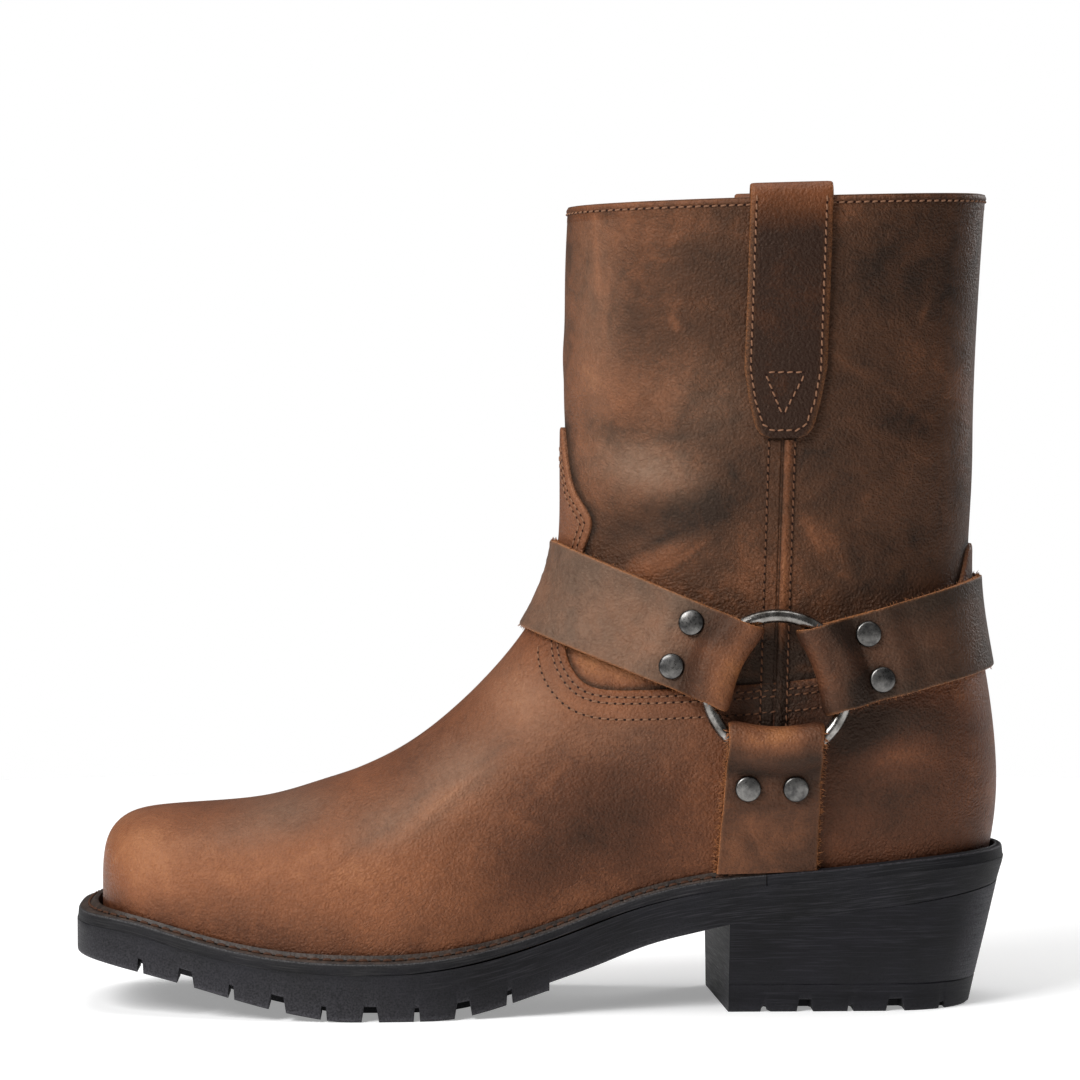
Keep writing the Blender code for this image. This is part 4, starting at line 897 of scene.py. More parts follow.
def ground_rubber(name, dark, mid, worn):
    """Inked black edge of sole, ground smooth: matt, with fine lines along the side, rubbed grey at the
    corners, and lighter grey where the same mark carries painted light."""
    made, tree = new_material(name)
    place = node(tree, "TexCoord").outputs["Object"]
    level, worn_and_lit = (node(tree, "Attribute", attribute_name=mark).outputs["Fac"]
                     for mark in ("level", "worn_and_lit"))
    # lines 13 mm long and 0.4 mm apart
    apart = node(tree, "SeparateXYZ", (place,)).outputs
    lengthwise = node(tree, "CombineXYZ", (apart["X"], apart["Y"]))
    stretch = node(tree, "VectorMath", (lengthwise, (1000 / 13, 1000 / 13, 0)), operation="MULTIPLY")
    lines_apart = node(tree, "Math", (level, 1 / 0.4), operation="MULTIPLY")
    lifted = node(tree, "CombineXYZ", {"Z": lines_apart})
    drawn = node(tree, "VectorMath", (stretch, lifted), operation="ADD")
    line = node(tree, "TexNoise", {"Vector": drawn, "Scale": 1.0, "Detail": 4.0, "Roughness": 0.6})
    cloud = node(tree, "TexNoise", {"Vector": place, "Scale": 1000 / 14, "Detail": 4.0})
    grit = node(tree, "TexNoise", {"Vector": place, "Scale": 1000 / 0.6, "Detail": 2.0})
    tone = node(tree, "ValToRGB", (cloud,), ((0.3, dark), (0.75, mid)))
    scratch = node(tree, "MapRange", (line, 0.48, 0.85, 0.0, 0.4))
    wear = node(tree, "MapRange", (grit, 0.3, 0.65, 0.15, 1.0))
    corner = node(tree, "Math", (wear, worn_and_lit), operation="MULTIPLY")
    shown = node(tree, "Math", (scratch, corner), operation="MAXIMUM")
    colour = node(tree, "Mix", {"Factor": shown, "A": tone, "B": linear(worn)}, data_type="RGBA")
    relief = node(tree, "Math", (line, grit), operation="ADD")
    bump = node(tree, "Bump", {"Height": relief, "Strength": 0.5, "Distance": 0.2 * MM})
    rough = node(tree, "MapRange", (line, 0.3, 0.7, 0.5, 0.72))
    return shaded(made, {"Base Color": colour, "Roughness": rough, "Normal": bump, "Specular IOR Level": 0.2})


points, faces, marks = edge_strip(SOLE_TOE_X, FRONT_X[0] - FOOT_OUT, WELT_END_X, 421, FOOT_OUT, WELT_RIDGE,
                                  WELT_BEAD, [0.0, 0.1, 0.7, 0.5, 0.0])
welt_leather = waxed_welt("waxed welt leather", "#1b120d", "#43342b")
welt = add_piece("welt_strip", points, faces, welt_leather, marks, ["welt"])
welt.data.materials.append(ground_rubber("inked welt edge", "#08080a", "#121116", "#5a5858"))
on_side = np.tile(np.arange(points.shape[1]) < 3, len(points) - 1)
welt.data.polygons.foreach_set("material_index", np.append(on_side, (0, 0)).astype(np.int32))
weld(welt, 50)
# the outseam lies in the hollow before the bead
seam = points[4:-4, WELT_SEAM] + (0, 0, 0.12)
sewn("welt_stitching", [(seam, np.tile((0.0, 0.0, 1.0), (len(seam), 1)))], WELT_PITCH,
     waxed_thread("waxed dark thread", "#4a3022", "#0c0604"), 4.0, 0.9)

# Outsole: black moulded rubber with a lug tread, sewn to the welt, its edge ground and buffed.
# Fine lines from the grinding run along the side, and the corners are rubbed grey; the lower side and the
# forefoot are painted lighter, as bounced light.

TREAD = np.array([
    (-154.3, 18.8), (-145.0, 17.2), (-131.0, 14.2), (-115.0, 10.6), (-102.0, 7.2), (-90.0, 4.2),
    (-75.0, 1.3), (-64.0, 0.0), (-56.0, 0.0), (-46.0, 0.0), (-36.0, 0.0), (-28.0, 0.6), (-12.0, 4.2),
    (1.5, 8.4),
])
ARCH = np.array([
    (2.0, 11.0), (20.0, 17.2), (33.0, 22.2), (43.0, 25.0), (52.0, 27.1), (61.0, 29.2), (80.0, 31.0),
    (105.0, 33.6), (130.0, 37.0), (154.6, 41.0),
])
LUG_FIRST_X, LUG_PITCH, LUG_COUNT = -131.0, 15.0, 9
LUG_WIDE, LUG_NARROW, LUG_DEEP = 5.6, 2.0, 5.0
BREAST_X = 61.0
# corners of a groove across its width, whose walls lean in
GROOVE = np.array([-0.5, -0.35, 0.35, 0.5])
# columns of the sole's grid in from its edge: side lugs, then a channel along the tread
INSET = np.array([0.0, 2.0, 6.0, 11.0, 16.8, 17.0, 19.0, 19.2, 21.0, 21.2])
# levels of the sole from its top to the tread: share of the way down, tuck under, drop of its upper end, wear
# and painted light: at 0.5 and 0.86 of the way down it is painted light bounced from the floor
SOLE_LEVELS = (
    (0.0, 0.12, -0.27, 0.1), (0.0, 0.0, -0.15, 0.1), (0.12, 0.0, 0.4, 0.0), (0.5, 0.1, 0.4, 0.05),
    (0.86, 0.2, 0.4, 0.15), (0.96, 0.4, 0.4, 0.4), (1.0, 1.0, 0.4, 0.35),
)


def tread_z(x):
    """Underside of the outsole: the tread up to the arch, then the plain rise to the heel."""
    forefoot = np.where((x > -64) & (x < -36), 0.0, np.maximum(spline(TREAD[:, 0], TREAD[:, 1], x), 0.0))
    return np.where(x < 2, forefoot, spline(ARCH[:, 0], ARCH[:, 1], x))


def grooves(x, table):
    """Depth of a row of grooves, each given as its middle, width and depth; the walls of a groove lean in to
    0.7 of its width."""
    return np.max([deep * np.clip((wide / 2 - np.abs(x - at)) / (0.15 * wide), 0, 1)
                   for at, wide, deep in table], 0)


def superellipse(end_x, long, power, count):
    """Places along the boot that draw a rounded end evenly: the end's formula read at equal turns."""
    turn = np.linspace(0, math.pi / 2, count)
    return end_x + long * (1 - np.cos(turn) ** (2 / power))


rubber = ground_rubber("ground black rubber", "#08080a", "#111116", "#545257")
lug_x = LUG_FIRST_X + LUG_PITCH * np.arange(LUG_COUNT)
odd = np.arange(LUG_COUNT) % 2
lugs = np.stack((lug_x, np.where(odd, LUG_WIDE, LUG_NARROW), np.where(odd, LUG_DEEP, LUG_DEEP - 0.6)), 1)
bars = [(x, LUG_WIDE - 1, LUG_DEEP - 1) for x in lug_x[0:-1:2] + LUG_PITCH / 2]
sole_x = np.concatenate([at + wide * GROOVE for at, wide, _ in [*lugs, *bars]] + [
    superellipse(SOLE_TOE_X, SOLE_TOE_LONG, SOLE_TOE_POWER, 22), [-140, -139.8, -3.2, -3],
    np.linspace(-130, 118, 72), [1.4, 1.99, 2.0], -superellipse(-SOLE_HEEL_X, HEEL_ROUND, HEEL_POWER, 22)])
sole_x = np.unique(np.round(sole_x, 3))
half = sole_half(sole_x)
scale = np.minimum(1, half / 27)[:, None]
centre = (half[:, None] - INSET[-1] * scale) * np.linspace(-1, 1, 9)[None, 1:-1]
columns = np.concatenate((-half[:, None] + INSET * scale, centre, half[:, None] - INSET[::-1] * scale), 1)
from_edge = (half[:, None] - np.abs(columns)) / scale.clip(1e-6)
in_channel = (from_edge > 16.9) & (from_edge < 21.1) & ((sole_x > -140.1) & (sole_x < -2.9))[:, None]
deep = np.where(from_edge < 19.1, grooves(sole_x, lugs)[:, None], grooves(sole_x, bars)[:, None])
deep = np.maximum(deep, (LUG_DEEP - 1.2) * in_channel)
lean = (ease(90, 150, sole_x) * 2.0)[:, None]
levels = []
for share, tuck, drop, _ in SOLE_LEVELS:
    top = seat_z(sole_x)[:, None] - drop
    z = top + share * (tread_z(sole_x)[:, None] + deep - top)
    tuck = tuck * (1 - ease(40, BREAST_X, sole_x) * (share > 0))[:, None]
    narrow = 1 - (tuck + 0.4 * lean * share) / np.maximum(half[:, None], 3.0)
    y = centre_y(sole_x)[:, None] + columns * narrow
    levels.append(np.stack(np.broadcast_arrays(sole_x[:, None] - lean * share, y, z), -1))
points, faces, worn_and_lit = block(levels, [worn for _, _, _, worn in SOLE_LEVELS])
level = points[:, 2] - seat_z(points[:, 0])
worn_and_lit = worn_and_lit * (1 - ease(40, 60, points[:, 0]) * (level < -3))
# painted light: the side of the forefoot lighter, where the light falls on it
worn_and_lit += 0.2 * (1 - ease(-70, -10, points[:, 0])) * (level < -1)
weld(add_piece("outsole_rubber", points, faces, rubber, {"level": level, "worn_and_lit": worn_and_lit},
               ["outsole"]), 32)

# Heel: a rubber-covered stack glued and nailed under the outsole, with a separate wearing lift below it.
# A narrow rand closes the edge above, where the welt ends.

LIFT_HIGH = 9.0
BREAST_SKEW = 4.0
# the stack's back end comes in by its lean and its width by its taper, and the lift's again below it
STACK_LEAN, STACK_TAPER, LIFT_LEAN, LIFT_TAPER = 7.4, 0.083, 2.0, 0.022
LIFT_BACK_X, LIFT_CUT_Y = 145.2, 19.5
LIFT_CUTS = ((72.5, 2.0, 2.0), (86.0, 5.4, 4.0), (101.0, 2.0, 2.0), (115.8, 6.2, 4.0), (131.6, 2.0, 2.0))
# levels of the stack and the lift from the top: share of the way down, tuck in, wear
STACK_LEVELS = ((0.0, 0.0, 0.0), (0.1, 0.0, 0.0), (0.5, 0.0, 0.0), (0.985, 0.0, 0.1), (1.0, 0.25, 0.25))
LIFT_LEVELS = ((0.0, 0.25, 0.15), (0.04, 0.0, 0.1), (0.5, 0.0, 0.0), (0.93, 0.0, 0.2), (1.0, 0.6, 0.5))


def heel_level(back, narrow, extra=()):
    """Flat grid over the heel: the outsole's outline behind the breast, drawn in to a back end and narrowed,
    its breast skewed a little towards the toe on the inner side. extra gives further places x."""
    draw = (back - BREAST_X) / (under_x[-1] - BREAST_X)
    x = np.concatenate((np.linspace(BREAST_X, under_x[-1] - HEEL_ROUND, 22),
                        BREAST_X + (np.array(extra) - BREAST_X) / draw,
                        -superellipse(-under_x[-1], HEEL_ROUND, HEEL_POWER, 24)))
    x = np.unique(np.round(x, 3))
    wide = np.interp(x, under_x, under_half) * narrow
    grid = across_sole(BREAST_X + (x - BREAST_X) * draw, wide, np.zeros_like(x), 27)
    grid[..., 0] -= BREAST_SKEW * (1 - ease(BREAST_X, 85, grid[..., 0])) * (grid[..., 1] + 35) / 70
    return grid


heel_rubber = ground_rubber("ground black heel rubber", "#07070a", "#0f0e14", "#47464c")
under_x = sole_x - lean[:, 0]
under_half = half * (1 - 0.4 * lean[:, 0] / np.maximum(half, 3.0))
levels = []
for share, tuck, _ in STACK_LEVELS:
    grid = heel_level(under_x[-1] - STACK_LEAN * share - tuck, 1 - STACK_TAPER * share - tuck / 35)
    arch = spline(ARCH[:, 0], ARCH[:, 1], grid[..., 0]) - 0.02
    grid[..., 2] = arch * (1 - share) + (LIFT_HIGH + 0.06) * share
    levels.append(grid)
points, faces, worn_and_lit = block(levels, [worn for _, _, worn in STACK_LEVELS])
# painted highlight on the heel's back, where the light from behind falls, carried in the same mark as wear
worn_and_lit = np.maximum(worn_and_lit, 0.6 * ease(136, 149, points[:, 0] + STACK_LEAN * (1 - points[:, 2] / 41)))
weld(add_piece("heel_stack_rubber", points, faces, heel_rubber,
               {"level": points[:, 2], "worn_and_lit": worn_and_lit}, ["heel_stack"]), 40)

cut_walls = np.concatenate([at + wide * GROOVE for at, wide, _ in LIFT_CUTS])
levels = []
for share, tuck, _ in LIFT_LEVELS:
    narrow = 1 - STACK_TAPER - LIFT_TAPER * share - tuck / 35
    grid = heel_level(LIFT_BACK_X - LIFT_LEAN * share - tuck, narrow, cut_walls)
    cut = grooves(grid[..., 0], LIFT_CUTS) * (np.abs(grid[..., 1]) > LIFT_CUT_Y)
    grid[..., 2] = LIFT_HIGH + share * (cut - LIFT_HIGH)
    levels.append(grid)
points, faces, worn_and_lit = block(levels, [worn for _, _, worn in LIFT_LEVELS])
weld(add_piece("heel_lift_rubber", points, faces, heel_rubber,
               {"level": points[:, 2], "worn_and_lit": worn_and_lit}, ["heel_lift"]), 32)

points, faces, marks = edge_strip(SOLE_HEEL_X, LOWER_X[LAST_OPEN] + FOOT_OUT + 1.0, WELT_END_X + GAP, 241,
                                  FOOT_OUT + 1.0, 0.3, 0.25, [0.0, 0.0, 0.4, 0.6, 0.35, 0.1])
weld(add_piece("heel_rand_rubber", points, faces, rubber, marks, ["heel_rand"]), 50)

# Rings: forged round steel rings, blackened and rubbed bright, one on each side of the ankle.
# Each lies flat on the straps' tails, held by the three folds round it.

RING_RADIUS, RING_WIRE = 22.8, 4.4
RING_X, RING_Z = 75.8, 107.7
STRAP_THICK = 2.4


def aged_steel(name, bright, dark, smooth, dull):
    """Blackened steel: metallic, mottled, rubbed bright where it is touched, and painted black where its mark
    stands for the shade of a gap.
    """
    made, tree = new_material(name)
    hollow_shade = node(tree, "Attribute", attribute_name="hollow_shade").outputs["Fac"]
    place = node(tree, "TexCoord").outputs["Object"]
    cloud = node(tree, "TexNoise", {"Vector": place, "Scale": 1000 / 5, "Detail": 5.0, "Roughness": 0.65})
    tone = node(tree, "ValToRGB", (cloud,), ((0.35, dark), (0.7, bright)))
    fine = node(tree, "TexNoise", {"Vector": place, "Scale": 1000 / 0.8, "Detail": 3.0})
    rough = node(tree, "MapRange", (fine, 0.3, 0.7, smooth, dull))
    bump = node(tree, "Bump", {"Height": fine, "Strength": 0.25, "Distance": 0.08 * MM})
    colour = node(tree, "Mix", {"Factor": hollow_shade, "A": tone, "B": linear("#0d0c0b")}, data_type="RGBA")
    return shaded(made, {"Base Color": colour, "Roughness": rough, "Normal": bump, "Metallic": 1.0})


turns = np.linspace(0, 2 * math.pi, 48, endpoint=False)
under_ring = side_place(RING_X + RING_RADIUS * np.cos(turns), RING_Z + RING_RADIUS * np.sin(turns))[2].max()
# heights of the middle of a strap off the upper: lying on it, and on its own tail
REST = STEP_VAMP + 2.8 * GAP + STRAP_THICK / 2
DOUBLED = REST + STRAP_THICK + GAP
RING_Y = under_ring + REST + STRAP_THICK / 2 + GAP + RING_WIRE / 2
OVER_RING = RING_WIRE / 2 + GAP + STRAP_THICK / 2
steel = aged_steel("aged blackened steel", "#a5a29e", "#504d49", 0.16, 0.32)
around = np.linspace(0, 2 * math.pi, 128, endpoint=False)[:, None]
tube = np.linspace(0, 2 * math.pi, 20, endpoint=False)[None, :]
reach = RING_RADIUS + RING_WIRE / 2 * np.cos(tube)
for side, sign in (("lateral", -1), ("medial", 1)):
    y = sign * RING_Y + RING_WIRE / 2 * np.sin(tube)
    ring = (RING_X + reach * np.cos(around), y, RING_Z + reach * np.sin(around))
    points = np.stack(np.broadcast_arrays(*ring), -1)
    points = np.concatenate((points, points[:1]))
    weld(add_piece("ring_" + side + "_steel", points, grid_faces(129, 20, True), steel, None,
                   ["ring_" + side]), 180)

# Straps: three bands of bridle leather on each ring, cut with raw edges, folded round it and riveted.
# The front and the back one run round the ankle to the other ring, and the lower one goes into the welt seam.

# corners of each strap seen from the side: two at the ring, then two at the far end
STRAP_FRONT = np.array([(60.9, 99.2), (73.0, 125.4), (-4.6, 124.6), (7.4, 152.4)])
STRAP_BACK = np.array([(90.2, 98.2), (80.9, 125.0), (148.4, 112.0), (143.0, 141.4)])
STRAP_DOWN = np.array([(60.6, 97.0), (90.6, 97.0), (56.8, 46.6), (89.6, 47.5)])
FOLD_BOW = 2.2
STRAP_TAIL = 27.0
# tone of the straps: darker in rings round the rivets as painted contact shadow, light where they are rubbed
STRAP_TONES = (
    (51, 127.7, 5.2, 5.2, 0, -0.2), (45, 113.2, 5.2, 5.2, 0, -0.2), (102.9, 124, 5.2, 5.2, 0, -0.2),
    (107.3, 109.3, 5.2, 5.2, 0, -0.2), (67, 75.1, 5.2, 5.2, 0, -0.2), (82.9, 74.3, 5.2, 5.2, 0, -0.2),
    (68, 62, 6, 4, 0, 0.18), (79, 58, 8, 5, 20, 0.14), (84, 66, 4, 5, 0, 0.10), (62, 54, 4, 7, 0, 0.10),
    (34, 131, 11, 9, -18, 0.06), (12, 139, 9, 14, -20, -0.10), (128, 124, 10, 5, 16, 0.03),
    (66, 90, 8, 2, 0, 0.08), (80, 84, 9, 1.6, 4, -0.12), (72, 80, 9, 1.4, -6, -0.12),
    (70, 68, 9, 1.2, 8, -0.10),
)
# each strap: name, corners, where it runs to (0 the front of the boot, 1 its back, None the welt), rows along
# it, tone, painted grey sheen
STRAPS = (
    ("strap_front", STRAP_FRONT, 0, 70, 0.48, 0.26), ("strap_back", STRAP_BACK, 1, 80, 0.19, 0.05),
    ("strap_down", STRAP_DOWN, None, 40, 0.42, 0.0),
)


def strap_line(start, far, limit):
    """Line over the upper from a place towards another, seen from the lateral side: its start and direction,
    and along its length the way gone, the half width and the outward direction. It stops where it comes
    to the front (limit 0) or the back (limit 1) of the boot."""
    length = np.linalg.norm(far - start)
    way = (far - start) / length
    if limit is not None:
        reach = np.linspace(0, length + 14, 500)
        share = side_place(*(start + reach[:, None] * way).T)[3]
        length = reach[np.argmax(share <= 0 if limit == 0 else share >= 1)]
    near = np.linspace(0, 1, 260)
    along = length * (near if limit is None else 1 - (1 - near) ** 2)
    half = side_place(*(start + along[:, None] * way).T)[2]
    if limit is not None:
        half[-1] = 0.0
    arc = arc_length(np.stack((along, half), 1))
    out = np.stack((-np.gradient(half, arc), np.gradient(along, arc)), -1)
    if limit is not None:
        out[-1] = 1, 0
    return start, way, arc, along, half, unit(out)


def on_line(line, at, high):
    """Points at lengths along a strap's line and heights off the upper."""
    start, way, arc, along, half, out = line
    lean = read_line(at, arc, out)
    gone = np.interp(at, arc, along) + high * lean[..., 0]
    side = start + gone[..., None] * way
    return np.stack((side[..., 0], -(np.interp(at, arc, half) + high * lean[..., 1]), side[..., 1]), -1)


def strap_grid(corners, limit, steps, spread):
    """Middle of a strap's thickness: from its tail under the fold, in a half turn round the ring, down on to
    its own tail and on to its far end. Rows run along the strap, columns across it. Also the length gone."""
    low, high, far_low, far_high = corners
    columns = []
    gone = []
    for v in spread:
        line = strap_line(low + v * (high - low), far_low + v * (far_high - far_low), limit)
        crown = 1 - (2 * v - 1) ** 2
        bow = FOLD_BOW * crown + 1.1 * abs(2 * v - 1) ** 14
        over = RING_Y - float(np.interp(9.0 + bow / 2, line[2], line[4])) + OVER_RING
        radius = (over - REST) / 2
        middle = bow + STRAP_THICK / 2 + radius
        turn = np.linspace(0, math.pi, 21)
        back = np.concatenate((np.linspace(middle + 0.6, 20.4, 30), np.linspace(21.0, STRAP_TAIL + 10, 22),
                               np.linspace(STRAP_TAIL + 11, line[2][-1], steps)))
        rise = over + (DOUBLED - over) * ease(8.6 + 3.9 * crown, 19.8, back)
        rise += (REST - DOUBLED) * ease(STRAP_TAIL + 1.5, STRAP_TAIL + 10, back)
        rise = np.concatenate((np.full(10, REST), REST + radius - radius * np.cos(turn), rise))
        at = np.concatenate((np.linspace(STRAP_TAIL, middle + 0.6, 10), middle - radius * np.sin(turn), back))
        columns.append(on_line(line, at, rise))
        gone.append(at * np.where(np.arange(len(at)) < 20, -1, 1))
    return np.stack(columns, 1), np.stack(gone, 1)


def from_edges(count, plain, *ends):
    """Values across a width: plain, apart from those given from both edges inward."""
    values = np.full(count, float(plain))
    for i, end in enumerate(ends):
        values[[i, -1 - i]] = end
    return values


def both_faces(values):
    """Rows of values carried over a strip's upper face and back over its lower one."""
    return np.concatenate((values, values[:, ::-1]), 1)


def leather_strip(grid, thick, flat):
    """Closed strip about a grid through the middle of its thickness: each row of points is set off to both
    sides along the surface's outward direction, by shares that round the two edges, and joined round."""
    off = (thick / 2 * flat)[:, None] * unit(np.cross(np.gradient(grid, axis=0), np.gradient(grid, axis=1)))
    rings = np.concatenate((grid + off, (grid - off)[:, ::-1]), 1)
    rows, columns = rings.shape[:2]
    j = np.arange(columns // 2 - 1)
    lid = np.stack((j, j + 1, columns - 2 - j, columns - 1 - j), 1)
    return rings, np.concatenate((grid_faces(rows, columns, True), lid, lid + (rows - 1) * columns))


def frayed(name, lines, gap, long, material, seed):
    """Fibre ends along raw edges, given as lines of points with the direction away from the leather. Each
    end is a three-sided blade that bends over and runs out to a point, at a chance place and lean."""
    chance = np.random.default_rng(seed)
    parts = []
    for points, away in lines:
        arc = arc_length(points)
        at = chance.uniform(0, arc[-1], int(arc[-1] / gap))
        along = read_line(at + 0.5, arc, points) - read_line(at - 0.5, arc, points)
        parts.append((read_line(at, arc, points), read_line(at, arc, away), along))
    place, away, along = (np.concatenate(part) for part in zip(*parts))
    away, along = unit(away), unit(along)
    out = np.cross(away, along)
    count = len(place)
    reach = long * chance.uniform(0.35, 1.0, (count, 1)) ** 2
    first = away + chance.uniform(-0.7, 0.7, (count, 1)) * along + chance.uniform(-0.5, 0.5, (count, 1)) * out
    then = first + chance.uniform(-0.9, 0.9, (count, 1)) * along + chance.uniform(-0.6, 0.6, (count, 1)) * out
    root = place - 0.15 * away + chance.uniform(-0.8, 0.8, (count, 1)) * out
    knee = root + 0.55 * reach * first
    spine = np.stack((root, knee, knee + 0.5 * reach * then), 1)
    turn = np.arange(3) * 2 * math.pi / 3
    round_it = np.cos(turn)[:, None] * along[:, None] + np.sin(turn)[:, None] * out[:, None]
    thick = long * np.array([0.10, 0.07, 0.014])
    rods = spine[:, :, None] + thick[:, None, None] * round_it[:, None]
    number = 9 * np.arange(count)[:, None, None]
    faces = (grid_faces(3, 3, True)[None] + number).reshape(-1, 4).tolist()
    faces += (np.array([[0, 2, 1], [6, 7, 8]])[None] + number).reshape(-1, 3).tolist()
    add_piece(name, rods, faces, material, {"tone": 0.6, "cut": 0.75})


strap_leather = oiled_leather("oiled bridle leather, straps", ("#1b0d07", "#44281a", "#6e432b", "#9e663d"),
                              "#b8784a", 1.3, 0.9, 0.25)
spread = np.concatenate(([0.0, 0.008, 0.03], np.linspace(0.08, 0.92, 19), [0.97, 0.992, 1.0]))
flat = from_edges(len(spread), 1, 0.8, 0.96)
bare = from_edges(len(spread), 0, 1.0, 0.2)
fray_lines = []
long_fray_lines = []
for name, corners, limit, steps, shade, sheen_amount in STRAPS:
    half_grid, gone = strap_grid(corners, limit, steps, spread)
    for side, sign in ((("", 1),) if limit is not None else (("_lateral", 1), ("_medial", -1))):
        grid = half_grid * (1, sign, 1)
        lengths = gone
        if limit is not None:
            # the other half round the boot, with the place where they meet smoothed
            grid[-1, :, 1] = 0.0
            grid = np.concatenate((grid, (grid * (1, -1, 1))[-2::-1]))
            lengths = np.concatenate((gone, gone[-2::-1]))
            near = np.arange(len(gone) - 9, len(gone) + 8)
            for _ in range(60):
                grid[near] = (grid[near - 1] + 2 * grid[near] + grid[near + 1]) / 4
        rings, faces = leather_strip(grid, STRAP_THICK, flat)
        bend = 0.20 * np.exp(-((lengths - 5.0) / 4.5) ** 2) - 0.10 * np.exp(-((lengths - 16.0) / 4.0) ** 2)
        tone = shade + bend + patches(grid, STRAP_TONES) - 0.06 * np.cos(2 * math.pi * spread)
        marks = {"tone": both_faces(tone), "cut": np.tile(bare, 2 * len(rings)),
                 "painted_sheen": both_faces(sheen_amount * ease(14, 30, lengths))}
        weld(add_piece(name + side + "_leather", rings, faces, strap_leather, marks,
                       [name + side]), 60)
        held = fray_lines if limit is not None else long_fray_lines
        for edge, inner in ((0, 2), (-1, -3)):
            outer = lengths[:, edge] > 4
            held.append((grid[outer, edge], (grid[:, edge] - grid[:, inner])[outer]))
frayed("strap_fray", fray_lines, 0.6, 1.4, strap_leather, 3)
frayed("lower_strap_fray", long_fray_lines, 0.22, 2.4, strap_leather, 5)

# Rivets: two-part steel rivets with nearly flat, blackened caps, a pair through each strap and its tail.
# The caps are pressed on and sink a little into the leather, and their steep edge is painted dark as the
# shade of the gap under the rim.

RIVET_OFF, RIVET_FROM_FOLD, RIVET_APART = 0.5, 22.5, 15.6
# the cap from its foot to its crown: distance from the axis, height
RIVET_PROFILE = np.array([
    (4.0, -0.75), (4.2, -0.5), (4.2, 0.3), (4.1, 0.66), (3.86, 0.92), (3.5, 1.06), (2.6, 1.24), (1.3, 1.38),
    (0.0, 1.43),
])
RIVET_TURNS = 36
rivet_steel = aged_steel("blackened rivet steel", "#858380", "#3d3c3c", 0.24, 0.4)
spin = np.linspace(0, 2 * math.pi, RIVET_TURNS, endpoint=False)[:, None]
faces = grid_faces(len(RIVET_PROFILE), RIVET_TURNS, True).tolist() + [list(range(RIVET_TURNS))]
# painted shade on the cap's steep edge, for the gap under its rim
hollow_shade = np.repeat(RIVET_PROFILE[:, 0] > 4.05, RIVET_TURNS) * 0.9
for strap, corners in (("front", STRAP_FRONT), ("back", STRAP_BACK), ("down", STRAP_DOWN)):
    low, high, far_low, far_high = corners
    apart = RIVET_APART / 2 / np.linalg.norm(high - low)
    aim = unit(far_low + (far_high - far_low) / 3 - low - (high - low) / 3)
    for number, share in ((1, 0.5 - apart), (2, 0.5 + apart)):
        start = low + share * (high - low)
        line = strap_line(start, start + 60 * aim, None)
        seat, above = (on_line(line, np.array([RIVET_FROM_FOLD]), DOUBLED + off)[0]
                       for off in (STRAP_THICK / 2 + RIVET_OFF, 10.0))
        axis = unit(above - seat)
        first = unit(np.cross(axis, (0, 0, 1.0)))
        round_it = np.cos(spin) * first + np.sin(spin) * np.cross(axis, first)
        cap = seat + RIVET_PROFILE[:, 0, None, None] * round_it + RIVET_PROFILE[:, 1, None, None] * axis
        for side, sign in (("lateral", 1), ("medial", -1)):
            name = "rivet_{}_{}_{}".format(strap, number, side)
            weld(add_piece(name + "_cap", cap * (1, sign, 1), faces, rivet_steel, {"hollow_shade": hollow_shade},
                           [name]), 50)

# Pull tabs: doubled straps of hide laid over the rim at both sides, sewn down along their edges.
# A triangle of stitches holds the pointed lower end.

# the tab from its foot to the rim: z, middle x, half width
TAB = np.array([
    (188.2, 78.3, 5.0), (189.0, 78.3, 7.4), (191.5, 78.3, 9.4), (200.0, 78.5, 11.6), (210.5, 78.7, 13.4),
    (235.0, 79.6, 13.4), (258.0, 80.3, 13.4), (268.5, 80.6, 13.4),
])
# corners of its stitching: z, half width
TAB_ROUTE = np.array([(267.0, 11.4), (210.5, 11.4), (200.0, 9.6), (192.5, 7.0), (190.6, 4.0)])
TAB_TRIANGLE = np.array([(71.9, 209.4), (85.2, 209.4), (77.7, 195.2), (71.9, 209.4)])
TAB_THICK, TAB_INSIDE, TAB_BEND_Z = 2.4, 40.0, 262.0
# how far the tab keeps off the rim all round, and off the lining
RIM_CLEAR, LINING_CLEAR = 0.6, 1.2


def rim_z(x):
    """Height of the rim along the side of the shaft."""
    share = (x - FRONT_X[-1]) / (LOWER_X[-1] - FRONT_X[-1])
    return FRONT_Z[-1] + share * (LOWER_Z[-1] - FRONT_Z[-1])


tab_leather = oiled_leather("oiled pull-up leather, tabs", ("#200c05", "#47240f", "#704025", "#a2673c"),
                            "#8f5c38", 1.0, 0.8, 0.3)
spread = np.concatenate(([0.0, 0.018, 0.06], np.linspace(0.13, 0.87, 11), [0.94, 0.982, 1.0])) * 2 - 1
flat = from_edges(len(spread), 1, 0.62, 0.92)
bare = from_edges(len(spread), 0, 0.9, 0.5, 0.12)
climb = np.append(TAB[0, 0] + 12 * np.linspace(0, 1, 22) ** 1.6, np.linspace(201.2, TAB_BEND_Z, 40))[:, None]
x = np.interp(climb, TAB[:, 0], TAB[:, 1]) + spread * np.interp(climb, TAB[:, 0], TAB[:, 2])
rising = np.stack(np.broadcast_arrays(x, -side_place(x, climb)[2] - GAP - TAB_THICK / 2, climb), -1)
x = TAB[-1, 1] + spread * TAB[-1, 2]
top = rim_z(x) + RIM_CLEAR
wall_mid = side_place(x, rim_z(x) - 0.05)[2] - WALL / 2 - GAP
radius = WALL / 2 + RIM_CLEAR + TAB_THICK / 2
turn = np.linspace(0, math.pi, 19)[:, None]
y = -wall_mid - radius * np.cos(turn)
over_rim = np.stack(np.broadcast_arrays(x, y, top + radius * np.sin(turn)), -1)
